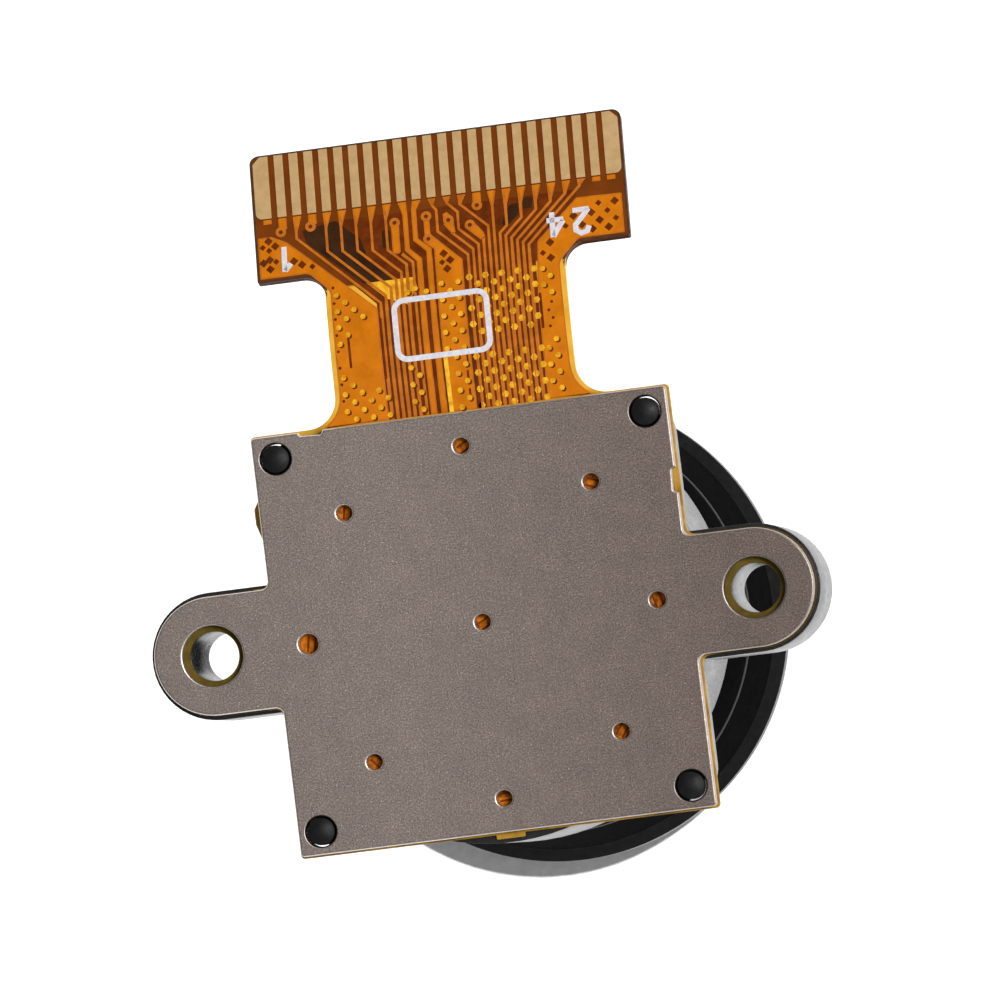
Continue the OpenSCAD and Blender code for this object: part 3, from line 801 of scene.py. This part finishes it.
def body_holes(ear_hole_r, ear_steps, peg_steps):
    """The screw holes in the ears, and the holes round the four pegs."""
    holes = [circle(x, 0, ear_hole_r, ear_steps) for x in (-EAR_PITCH / 2, EAR_PITCH / 2)]
    for x in (-PEG_PLACE, PEG_PLACE):
        holes += [circle(x, y, PEG_HOLE_R, peg_steps) for y in (-PEG_PLACE, PEG_PLACE)]
    return holes


def vents():
    """Place and radius of each vent: the middle one, then the ring from its one wide vent."""
    places = [(0.0, 0.0, VENT_R)]
    for i in range(VENTS_IN_RING):
        turn = math.pi + i * 2 * math.pi / VENTS_IN_RING
        r = VENT_R if i else WIDE_VENT_R
        places.append((VENT_RING_R * math.cos(turn), VENT_RING_R * math.sin(turn), r))
    return places


def plate_finish(face):
    """0 for the rolled flats, 2 for the wall round a peg and 1 for all other cut edges and rims,
    which carry a painted highlight.
    """
    if abs(face.normal.z) > 0.97:
        return 0
    from_peg = math.hypot(*(abs(c) - PEG_PLACE * MM for c in face.center.xy))
    return 2 if from_peg < (PEG_HOLE_R + 0.06) * MM else 1


def build_plate():
    """The steel plate, with a nick in two of its edges where it was cut from its sheet."""
    half, deep, shallow = PLATE_HALF, PLATE_HALF - NICK, PLATE_HALF - NICK * 0.8
    nicks = {
        "right": [(half, 3.375, 0.04), (deep, 3.45, 0.06), (shallow, 4.16, 0.06),
                  (half, 4.225, 0.04)],
        "top": [(-4.475, half, 0.04), (-4.56, deep, 0.06), (-5.22, shallow, 0.06),
                (-5.325, half, 0.04)],
    }
    outer = outline(eared_corners(half, PLATE_CORNER_R, EAR_R, nicks), steps=14)
    holes = body_holes(EAR_HOLE_R, 96, 64) + [circle(x, y, r, 40) for x, y, r in vents()]
    mesh = slab_mesh("steel_plate", pierced(outer, *holes), PLATE_LOW.z, PLATE_HIGH.z, 0.065, 3)
    plate = new_object("steel_plate", mesh, [STEEL, CUT_STEEL_HIGHLIGHTED, PEG])
    finish_mesh(plate)
    give_faces(plate, plate_finish)
    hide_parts("stiffener_plate")


build_plate()


# ---------------------------------------------------------------- flexible circuit


def build_circuit():
    """The film of the flexible circuit, with stubs where it was cut from its panel."""
    out = -FLEX_HALF - STUB
    stub = [(STUB_HALF, out, 0.04), (STUB_HALF, -FLEX_HALF, 0.03)]
    tail = [(NECK_HALF, FLEX_HALF, NECK_ROOT_R)] + TAIL_SIDE
    extras = {
        "bottom": mirrored(stub) + stub,
        "top": tail + mirrored(tail),
        "left": [(-FLEX_HALF, 4.85, 0.05), (out, 4.60, 0.08), (out, 4.10, 0.08),
                 (-FLEX_HALF, 3.60, 0.05)],
    }
    outer = outline(eared_corners(FLEX_HALF, FLEX_CORNER_R, FLEX_EAR_R, extras), steps=12)
    holes = body_holes(FLEX_EAR_HOLE_R, 80, 48)
    sheet = bent_slab("flex_sheet", [pierced(outer, *holes)], -FLEX_THICK, 0, FILM, 0.02, rings=2)
    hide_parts("flex_circuit")


def build_stiffener():
    """The laminate under the contact head."""
    start = STIFFENER_START
    corners = [(-NECK_HALF, start, 0.0), (NECK_HALF, start, 0.0)] + TAIL_SIDE + mirrored(TAIL_SIDE)
    low, high = -FLEX_THICK - STIFFENER_THICK, -FLEX_THICK
    shape = [[outline(corners, 12)]]
    board = bent_slab("tail_backing", shape, low, high, LAMINATE, 0.03, rings=2, cuts=4)
    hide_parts("tail_stiffener")


def finger_x(i):
    """Middle of a contact finger, counted from 0 on the left."""
    return (i - (FINGERS - 1) / 2) * PITCH


def build_fingers():
    """The gold fingers: the outer two are wider, with their outer corners cut."""
    half = FINGER_WIDTH / 2 - 0.005
    shapes = [
        rectangle(finger_x(i) - half, FINGER_BASE, finger_x(i) + half, FINGER_TIP, 0.015)
        for i in range(1, FINGERS - 1)
    ]
    x = finger_x(FINGERS - 1)
    outside = x + half + OUTER_EXTRA
    right = outline(
        [
            (x - half, FINGER_BASE, 0.02),
            (outside, FINGER_BASE, 0.22),
            (outside, FINGER_TIP - OUTER_CUT, 0.05),
            (outside - OUTER_CUT, FINGER_TIP, 0.05),
            (x - half, FINGER_TIP, 0.02),
        ]
    )
    shapes += [[Vector((-p.x, p.y)) for p in reversed(right)], right]
    fingers = bent_slab("gold_fingers", [shapes], 0, FINGER_THICK, GOLD, 0.010, rings=2, cuts=1)
    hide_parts("contact_fingers")


def inlay(name, groups, material, edge=0.0, node=None):
    """Thin layers on the circuit, drawn flat and bent with it."""
    piece = bent_slab(name, groups, -0.01, LAYER_TOP[name], material, edge)
    if node:
        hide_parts(node)


def staggered(x, y, step, columns, rows):
    """Places of a square lattice with every other place left out, from its upper left."""
    places = [(i, j) for j in range(rows) for i in range(columns) if (i + j) % 2 == 0]
    return [(x + step * i, y - step * j) for i, j in places]


def left_track(finger, total, lane):
    """From a finger straight down, then to the right at 45 degrees into its lane.

    On the slope, x and y add up to the total.
    """
    top = finger_x(finger - 1)
    x = top + FINGER_SHIFT
    return stroke(
        [
            (top, FINGER_BASE, FINGER_WIDTH),
            (x, FINGER_BASE - 0.6, LINE),
            (x, total - x, LINE),
            (lane, total - lane, LINE),
            (lane, total - lane - 0.4, LINE * 1.25),
            (lane, COPPER_END, LINE * 1.25),
        ]
    )


def right_track(finger, difference, lane):
    """From a finger straight down, then to the left at 45 degrees into its lane.

    On the slope, y is x and the difference.
    """
    top = finger_x(finger - 1)
    x = top + FINGER_SHIFT
    knee = difference + x
    return stroke(
        [
            (top, FINGER_BASE, FINGER_WIDTH),
            (x, max(FINGER_BASE - 0.6, knee + 0.04), LINE * 1.2),
            (x, knee, LINE),
            (lane, difference + lane, LINE),
            (lane, 11.5, NECK_LINE),
            (lane, COPPER_END, NECK_LINE),
        ]
    )


def right_lane(i):
    """Middle of a lane right of the tail's middle."""
    return 0.82 + RIGHT_LANE * i


def runs(paths, width=LINE, end=NECK_LINE):
    """Outlines of tracks through (x, y) or (x, y, width), each ending under the plate."""
    made = []
    for path in paths:
        places = [(*place, width)[:3] for place in path]
        made.append(stroke(places + [(path[-1][0], COPPER_END, end)]))
    return made


def build_tracks():
    """The tracks that fan from the fingers into the neck, their short stubs and their vias."""
    top = FINGER_BASE
    tracks = [left_track(3, 8.68, -2.19)]
    for i, finger in enumerate(range(5, 10)):
        tracks.append(left_track(finger, 9.10 + 0.44 * i, -2.0 + LEFT_LANE * i))
    for i, finger in enumerate(range(17, 23)):
        tracks.append(right_track(finger, 10.83 - 0.29 * i, right_lane(6 + i)))
    tracks += runs(
        [
            [(1.75, top, FINGER_WIDTH), (1.745, 13.75)],
            [(-0.25, top, 0.3), (-0.25, 14.05), (-0.12, 13.85), (-0.12, 13.1),
             (right_lane(0), 12.16)],
            [(0.25, top, 0.3), (0.25, 14.05), (0.58, 13.7), (0.58, 13.09), (right_lane(2), 12.48)],
            [(0.75, top, 0.3), (0.68, 13.95), (right_lane(4), 13.07)],
            [(0.36, 13.0, 0.12), (0.42, 12.92), (right_lane(1), 12.335)],
            [(right_lane(3), 12.72, 0.12), (right_lane(3), 12.5)],
        ]
    )
    tracks += runs([[(-1.36, 12.48, 0.12), (-1.02, 12.14)]], end=LINE)
    wide = runs(
        [
            [(-1.25, top, 0.3), (-1.17, 13.85), (-1.17, 12.6), (-0.80, 12.2, 0.19)],
            [(-0.75, top, 0.3), (-0.87, 13.98), (-0.87, 12.92), (-0.46, 12.5, 0.19)],
        ],
        0.17,
        0.22,
    )
    wide += [
        rectangle(-1.665, 12.5, -1.395, 13.62, 0.1),
        rectangle(-0.57, 12.8, -0.37, 13.68, 0.05),
        outline([(0.08, 13.68, 0.05), (0.10, 13.3, 0.05), (0.36, 12.93, 0.05), (0.47, 13.0, 0.05),
                 (0.42, 13.5, 0.05), (0.22, 13.75, 0.05)]),
        outline([(0.80, 13.30, 0.08), (0.78, 13.12, 0.08), (1.28, 12.62, 0.04), (1.44, 12.66, 0.04),
                 (1.40, 12.88, 0.04), (1.04, 13.34, 0.08)]),
    ]
    stubs = [
        rectangle(finger_x(i) - 0.14, top - length, finger_x(i) + 0.14, top)
        for i, length in ((0, 0.2), (1, 0.45), (3, 0.4), (14, 0.45), (22, 0.2), (23, 0.2))
    ]
    groups = [tracks, wide, stubs]
    inlay("copper_traces", groups, TRACE, 0.006, "copper_tracks")

    # The inset fill leaves a rim of track colour round each wide piece: a painted highlight on its
    # edges.
    fills = [grown(shape, -0.04) for shape in wide + stubs]
    for i in (2, 4, 5, 6, 7, 8, 15, 16, 17, 18, 19, 20):
        x, tip = finger_x(i), top - 0.42
        fills.append(polygon((x - 0.11, top), (x - 0.03, tip), (x, tip), (x + 0.11, top)))
    inlay("copper_fill", [[f] for f in fills], COPPER, 0.002)

    vias = [(-5.33, 13.80), (-4.33, 13.86), (-1.53, 13.60), (-0.47, 13.68), (-0.45, 12.88),
            (0.26, 13.45), (0.96, 13.18), (1.24, 13.84)]
    rings = [pierced(circle(x, y, 0.18, 20), circle(x, y, 0.07, 12)) for x, y in vias]
    inlay("via_rings", rings, TRACE, 0.006)
    inlay("via_holes", [[circle(x, y, 0.085, 14)] for x, y in vias], UNDER)


def build_pours():
    """The copper areas of both layers that lie between and beside the tracks."""
    end = COPPER_END
    low = polygon((-4.7, 13.95), (-4.7, 13.35), (-2.32, 10.86), (-2.32, end), (3.04, end),
                  (3.04, 12.2), (4.55, 13.7), (4.5, 13.95))
    inlay("lower_copper", [[low]], UNDER)
    patches = [
        polygon((-4.62, 13.75), (-4.5, 13.3), (-2.72, 11.62), (-1.75, 11.62), (-2.5, 12.5),
                (-2.7, 13.2), (-3.5, 13.95)),
        rectangle(-1.98, 12.75, -1.72, 13.4, 0.1),
        outline([(2.02, 13.1, 0.05), (2.12, 12.9, 0), (2.6, 13.35, 0), (2.62, 13.75, 0.05),
                 (2.3, 13.7, 0.05)]),
        outline([(2.74, 13.5, 0.05), (3.05, 13.5, 0.05), (3.1, 13.85, 0.05), (2.8, 13.9, 0.05)]),
    ]
    inlay("dark_patches", [[p] for p in patches], PATCH)

    turns = [math.radians(a) for a in (0, 12, 24, 36, 48, 60, 65)]
    bow = [(5.0 - 1.16 * math.cos(t), 8.0 - 1.16 * math.sin(t), 0) for t in turns]
    left = outline(
        [(-6.12, 13.68, 0.05), (-6.12, 12.22, 0.05), (-4.5, 12.22, 0.3), (-3.82, 11.5, 0.4)]
        + [(-x, y, r) for x, y, r in bow]
        + [(-2.3, end, 0), (-2.3, 10.70, 0.1), (-5.15, 13.42, 0.1), (-5.66, 13.68, 0.1)])
    right = outline(
        [(4.55, 13.66, 0.1), (3.14, 12.3, 0.2), (3.02, 10.5, 0), (2.98, end, 0)]
        + bow[::-1]
        + [(3.82, 11.5, 0.4), (4.5, 12.22, 0.3), (6.05, 12.22, 0.05), (6.05, 13.62, 0.05)])
    middle = outline(
        [(-0.60, 12.95, 0.05), (-0.58, 12.75, 0.05), (-0.29, 12.5, 0.05), (-0.29, end, 0),
         (0.63, end, 0), (0.63, 12.02, 0.1), (-0.30, 12.98, 0.05)])
    pours = [left, right, middle]
    inlay("ground_copper", [pours], TRACE, 0.005)
    # The inset fill leaves a rim of track colour round each pour: a painted highlight on its edges.
    inlay("ground_fill", [[grown(p, -0.05) for p in pours]], COPPER, 0.002)

    slits = [
        (-3.36, 8.8, 9.85, 0.08), (-2.24, 8.3, 10.35, 0.07), (0.73, end, 8.9, 0.10),
        (3.09, 9.3, 10.5, 0.09), (0.46, 7.3, 7.65, 0.07), (0.46, 7.95, 8.25, 0.07),
        (0.50, 8.5, 8.8, 0.06),
    ]
    slits = [[rectangle(x - w / 2, y0, x + w / 2, y1, 0.03)] for x, y0, y1, w in slits]
    inlay("pour_slits", slits, UNDER)
    inlay("clear_strip", [[rectangle(-0.29, end, -0.15, 8.75)]], WINDOW)


def build_openings():
    """Small holes in the copper: dark over the backed head, bright over the open neck."""
    diamonds = [(5.26 + 0.54 * i, 13.36 - 0.60 * j) for i in range(2) for j in range(2)]
    diamonds += [(5.00 + 0.54 * i, 13.06 - 0.58 * j) for i in range(2) for j in range(2)]
    diamonds += [(4.66, 12.68), (4.12, 12.70), (4.40, 13.02), (3.56, 12.2), (3.30, 11.86),
                 (3.55, 11.66)]
    diamonds += [(-5.76, 13.53 - 0.33 * j) for j in range(4)]
    diamonds += [(-5.76 + 0.21 * i, 13.33 - 0.55 * j) for i in (-1, 1) for j in range(2)]
    diamonds += [(-4.96, 12.72), (-4.70, 12.56), (-4.36, 12.45), (0.02, 12.3), (0.22, 12.05),
                 (-0.05, 12.0), (0.1, 11.75)]
    marks = [circle(x, y, 0.15 if i % 3 else 0.11, 4) for i, (x, y) in enumerate(diamonds)]
    marks += [circle(-3.73, 11.6 - 0.55 * j, 0.055, 6) for j in range(8)]
    marks += [circle(3.45 - 0.12 * (j % 2), 10.15 - 0.27 * j, 0.055, 6) for j in range(4)]
    inlay("dark_openings", [[m] for m in marks], UNDER)

    step = 0.28
    dots = [
        (x, y)
        for x, y in staggered(-3.64, 11.31, step, 6, 16)
        if not (x > -3.2 and 8.2 < y < 10.3) and not 8.7 < y < 9.5 and x + y < 8.0
    ]
    dots += [(x, y - 0.56 * j) for x, y in ((3.25, 11.31), (3.49, 11.03)) for j in range(2)]
    dots += [(3.22, 8.62 - 0.54 * j) for j in range(3)]
    dots += [(3.49, 8.89 - 0.54 * j) for j in range(4)]
    dots += [(x, y) for x, y in staggered(-0.13, 11.25, step, 3, 16) if x > 0.0 or y > 8.9]
    dots += [(x, y - 0.56 * j) for x, y in ((-1.38, 8.55), (-1.12, 8.27)) for j in range(3)]
    dots += [(-1.26, 11.1), (-1.0, 11.2), (-0.64, 11.05)]
    # Each opening gets a dark crescent to its lower right: partly the offset lower copper, partly a
    # painted shadow.
    shades = [[circle(x + 0.040, y - 0.035, 0.100, 8)] for x, y in dots]
    inlay("opening_shades", shades, UNDER)
    films = [[circle(x - 0.01, y + 0.01, 0.100, 6)] for x, y in dots]
    inlay("opening_film", films, OPEN)

    mesh_dots = [(x, y) for x, y in staggered(0.80, 11.36, 0.27, 9, 17) if not 8.85 < y < 9.35]
    inlay("mesh_film", [[circle(x, y, 0.12, 6)] for x, y in mesh_dots], OPEN)
    threads = runs([[(right_lane(i), 11.42)] for i in range(12)], 0.03, 0.03)
    inlay("mesh_lines", [[t] for t in threads], TRACE)

    triangle = polygon((-2.60, 11.62), (-1.96, 10.98), (-1.30, 10.70), (-0.95, 11.25), (-1, 11.62))
    inlay("clear_triangle", [[triangle]], WINDOW)


def build_print():
    """Pin numbers, which read from the tail's tip, and a plain blank box."""
    glyphs = {
        "1": [[(-0.22, 0.70), (0.02, 0.97)], [(0.02, 1.0), (0.02, 0.5), (0.0, 0.0)]],
        "2": [[(-0.27, 0.72), (-0.18, 0.92), (0.04, 0.98), (0.24, 0.84), (0.24, 0.62),
               (-0.02, 0.34), (-0.28, 0.03)], [(-0.30, 0.04), (0.32, 0.04)]],
        "4": [[(0.13, 0.0), (0.13, 1.0)], [(0.13, 0.98), (-0.28, 0.36)],
              [(-0.30, 0.32), (0.34, 0.32)]],
    }
    height, line = 0.88, 0.18
    groups = []
    for digit, x, y in (("1", -5.26, 12.83), ("2", 4.66, 12.80), ("4", 3.80, 12.80)):
        for path in glyphs[digit]:
            places = [(x - a * height, y - (b - 0.5) * height, line) for a, b in path]
            groups.append([stroke(places)])
    box = rectangle(-1.86, 8.76, 1.40, 10.94, 0.42)
    groups.append(pierced(box, grown(box, -0.19)))
    inlay("white_print", groups, PRINT, 0.010)


def build_rim():
    """The dark cut edge round the backed head, and a painted shadow along the edge of the cover
    film.
    """
    inset = 0.04
    neck, half, tip = NECK_HALF - inset, HEAD_HALF - inset, HEAD_TIP - inset
    base = HEAD_BASE + inset
    corners = [(neck, STIFFENER_START, 0), (neck, base, 0.75), (half, base, 0.05),
               (half, tip, 0.27), (0.0, tip, 0)]
    right = outline(corners, 10)
    left = [Vector((-p.x, p.y)) for p in right]
    rims = [[stroke([(p.x, p.y, 0.07) for p in side])] for side in (right, left)]
    inlay("head_rim", rims, RIM)
    # Painted shadow: a dark strip across the foot of each finger, along the cover film's edge.
    half, low, high = FINGER_WIDTH / 2, FINGER_BASE - 0.045, FINGER_BASE + 0.005
    cover_shadow_strips = [[rectangle(finger_x(i) - half, low, finger_x(i) + half, high)] for i in range(FINGERS)]
    inlay("cover_edge_shadow", cover_shadow_strips, UNDER)


def build_vents():
    """The circuit seen in the plate's vents: orange film with dark gaps between its tracks."""
    discs, gaps = [], []
    for i, (x, y, r) in enumerate(vents()):
        discs.append([circle(x, y, r + 0.02, 24)])
        turn = Matrix.Rotation(0.5 + 0.9 * i, 2)
        for offset in (-0.16, 0.07):
            ends = [turn @ Vector((along, offset)) for along in (-0.8 * r, 0.8 * r)]
            gaps.append([stroke([(x + e.x, y + e.y, 0.07) for e in ends])])
    inlay("vent_film", discs, VENT)
    inlay("vent_gaps", gaps, UNDER)


build_circuit()
build_stiffener()
build_fingers()
build_tracks()
build_pours()
build_openings()
build_print()
build_rim()
build_vents()


# ---------------------------------------------------------------- holder and lens


def build_holder():
    """The moulded holder, with its pegs in a duller black than the rest."""
    holder = dressed("holder_body", "lens_holder", [PLASTIC, PEG], 0.07)
    give_faces(holder, lambda face: face.center.z > PLATE_LOW.z * MM)
    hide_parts("lens_holder")


def thread(name, low, high, root, crest, pitch, material, segments=96):
    """A helical thread as one sheet of rows that climb with the turn."""
    # Share of the pitch, and radius: a flat root, then a flat crest
    rows = [(0.0, root), (0.18, root), (0.42, crest), (0.76, crest)]
    turns = int((high - low) / pitch) + 2
    bm = bmesh.new()
    grid = []
    for j in range(turns * len(rows)):
        share, r = rows[j % len(rows)]
        row = []
        for i in range(segments):
            z = low - pitch + (j // len(rows) + share + i / segments) * pitch
            a = 2 * math.pi * i / segments
            row.append(bm.verts.new((r * math.cos(a), r * math.sin(a), min(max(z, low), high))))
        grid.append(row)
    for j in range(len(grid) - 1):
        for i in range(segments):
            # The last column joins the first one, a turn further on
            up, k = (j, i + 1) if i < segments - 1 else (j + len(rows), 0)
            if up + 1 >= len(grid):
                continue
            loop = (grid[j][i], grid[up][k], grid[up + 1][k], grid[j + 1][i])
            if max(v.co.z for v in loop) - min(v.co.z for v in loop) > 1e-6:
                bm.faces.new(loop)
    bmesh.ops.recalc_face_normals(bm, faces=bm.faces)
    return new_piece(name, bm, material, 25.0)


def build_barrel():
    """The lens barrel: its stem with a collar, its wide head, and the thread in between."""
    front = CAD_BOX[0][2] / MM
    rear = box_mm("lens_barrel")[1].z
    tower_rim = box_mm("lens_holder")[0].z
    head_back = front + 2.9
    band = head_back - 0.4
    collar = head_back + 2.3
    neck = collar - 0.50
    thread_end = collar + 1.7
    front_seat, bore, rear_bore = front + 3.1, front + 5.1, front + 8.7
    stem_r, ridge_r, neck_r, band_r, ring_r = 5.72, 7.09, 6.90, 7.998, 7.07
    bore_r, rear_bore_r, exit_r = 5.22, 4.42, 4.0
    stem_profile = [
        (exit_r, rear, 0.08),
        (5.55, rear, 0.05),
        (stem_r, rear - 0.3, 0.05),
        (stem_r, thread_end, 0.05),
        (6.2, thread_end, 0.10),
        (ridge_r, collar - 0.05, 0.42),
        (6.86, neck - 0.06, 0.10),
        (5.8, neck - 0.06, 0.0),
        (5.8, bore, 0.0),
        (bore_r, bore, 0.03),
        (bore_r, rear_bore, 0.03),
        (rear_bore_r, rear_bore, 0.03),
        (rear_bore_r, rear - 0.5, 0.03),
        (exit_r, rear - 0.5, 0.05),
    ]
    head_profile = [
        (5.9, neck, 0.0),
        (neck_r, neck, 0.10),
        (7.6, head_back, 0.10),
        (band_r, band, 0.06),
        (band_r, band - 0.7, 0.08),
        (7.72, front + 0.02, 0.14),
        (ring_r + 0.25, front, 0.06),
        (ring_r, front + 0.16, 0.03),
        (ring_r, front_seat, 0.03),
        (6.42, front_seat, 0.03),
        (6.42, bore, 0.03),
        (5.9, bore, 0.0),
    ]

    # The barrel wears copies of one black finish: the darkest is painted shade, the ridge's a
    # painted highlight, the band's painted light, and the front's the plain one.
    def on_ridge(face):
        return abs(face.center.z / MM - collar) < 0.36 and math.hypot(*face.center.xy) > 6.7 * MM

    def head_finish(face):
        if face.center.z < (band - 0.06) * MM:
            return 2
        return math.hypot(*face.center.xy) > 7.58 * MM

    stem = lathe("barrel_stem", outline(stem_profile, 8), [SHADED_ANODISED, RIDGE_HIGHLIGHT], 192)
    give_faces(stem, on_ridge)
    head = lathe("barrel_head", outline(head_profile, 5), [SHADED_ANODISED, LIT_BAND, GLOSSY], 192)
    give_faces(head, head_finish)
    for piece in (stem, head):
        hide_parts("lens_barrel")
    root_r, crest_r, pitch = 5.725, 5.975, 0.5
    low, high = thread_end + 0.2, tower_rim + 0.35
    helix = thread("barrel_thread", low, high, root_r, crest_r, pitch, GLOSSY)
    return head


def bulge(clear_r, sag, steps=24):
    """Radius and height of points on a spherical face, from its rim to the axis."""
    sphere_r = (clear_r**2 + sag**2) / (2 * sag)
    reach = math.asin(clear_r / sphere_r)
    if sag > clear_r:
        reach = math.pi - reach
    turns = [reach * (1 - i / steps) for i in range(steps + 1)]
    return [(sphere_r * math.sin(t), sphere_r * math.cos(t) - sphere_r + sag) for t in turns]


def build_front():
    """The bulging front glass and the ring that screws down on it."""
    low, high = box_mm("front_element")
    edge = high.z - 2.0
    hollow = [(r, high.z - h) for r, h in bulge(4.6, 2.0)]
    dome = [(r, edge - h) for r, h in bulge(5.8, edge - low.z)]
    profile = hollow[::-1] + [(6.4, high.z), (6.4, edge)] + dome
    glass = lathe("front_glass", profile, FRONT_GLASS, 160)
    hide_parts("front_element")
    low, high = box_mm("retaining_ring")
    corners = [(5.8, high.z, 0.03), (7.05, high.z, 0.03), (7.05, low.z, 0.05),
               (6.15, low.z, 0.06), (5.8, low.z + 0.35, 0.06)]
    front_ring = lathe("front_ring", outline(corners[::-1], 5), GLOSSY, 160)
    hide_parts("retaining_ring")


build_holder()
LENS_HEAD = build_barrel()
build_front()

# The pieces that keep their solid's own mesh, and what they are made of
PLAIN = {
    ADHESIVE: ["bonding_film"],
    CHIP: ["image_sensor", "voltage_regulators"],
    CLEAR: ["sensor_cover_glass"],
    CERAMIC: ["capacitors"],
    FILTER: ["infrared_filter"],
    GLASS: ["rear_element", "doublet_flint", "doublet_crown", "third_element", "second_element"],
    SPACER: ["rear_spacer", "aperture_stop", "middle_spacer", "front_spacer"],
    RUBBER: ["front_seal"],
}
for material, nodes in PLAIN.items():
    for node in nodes:
        data = NODES[node].data
        data.materials.clear()
        data.materials.append(material)
        data.shade_smooth()
        data.set_sharp_from_angle(angle=math.radians(35))

add_keys(FLOOR, [LENS_HEAD])
bpy.context.view_layer.update()
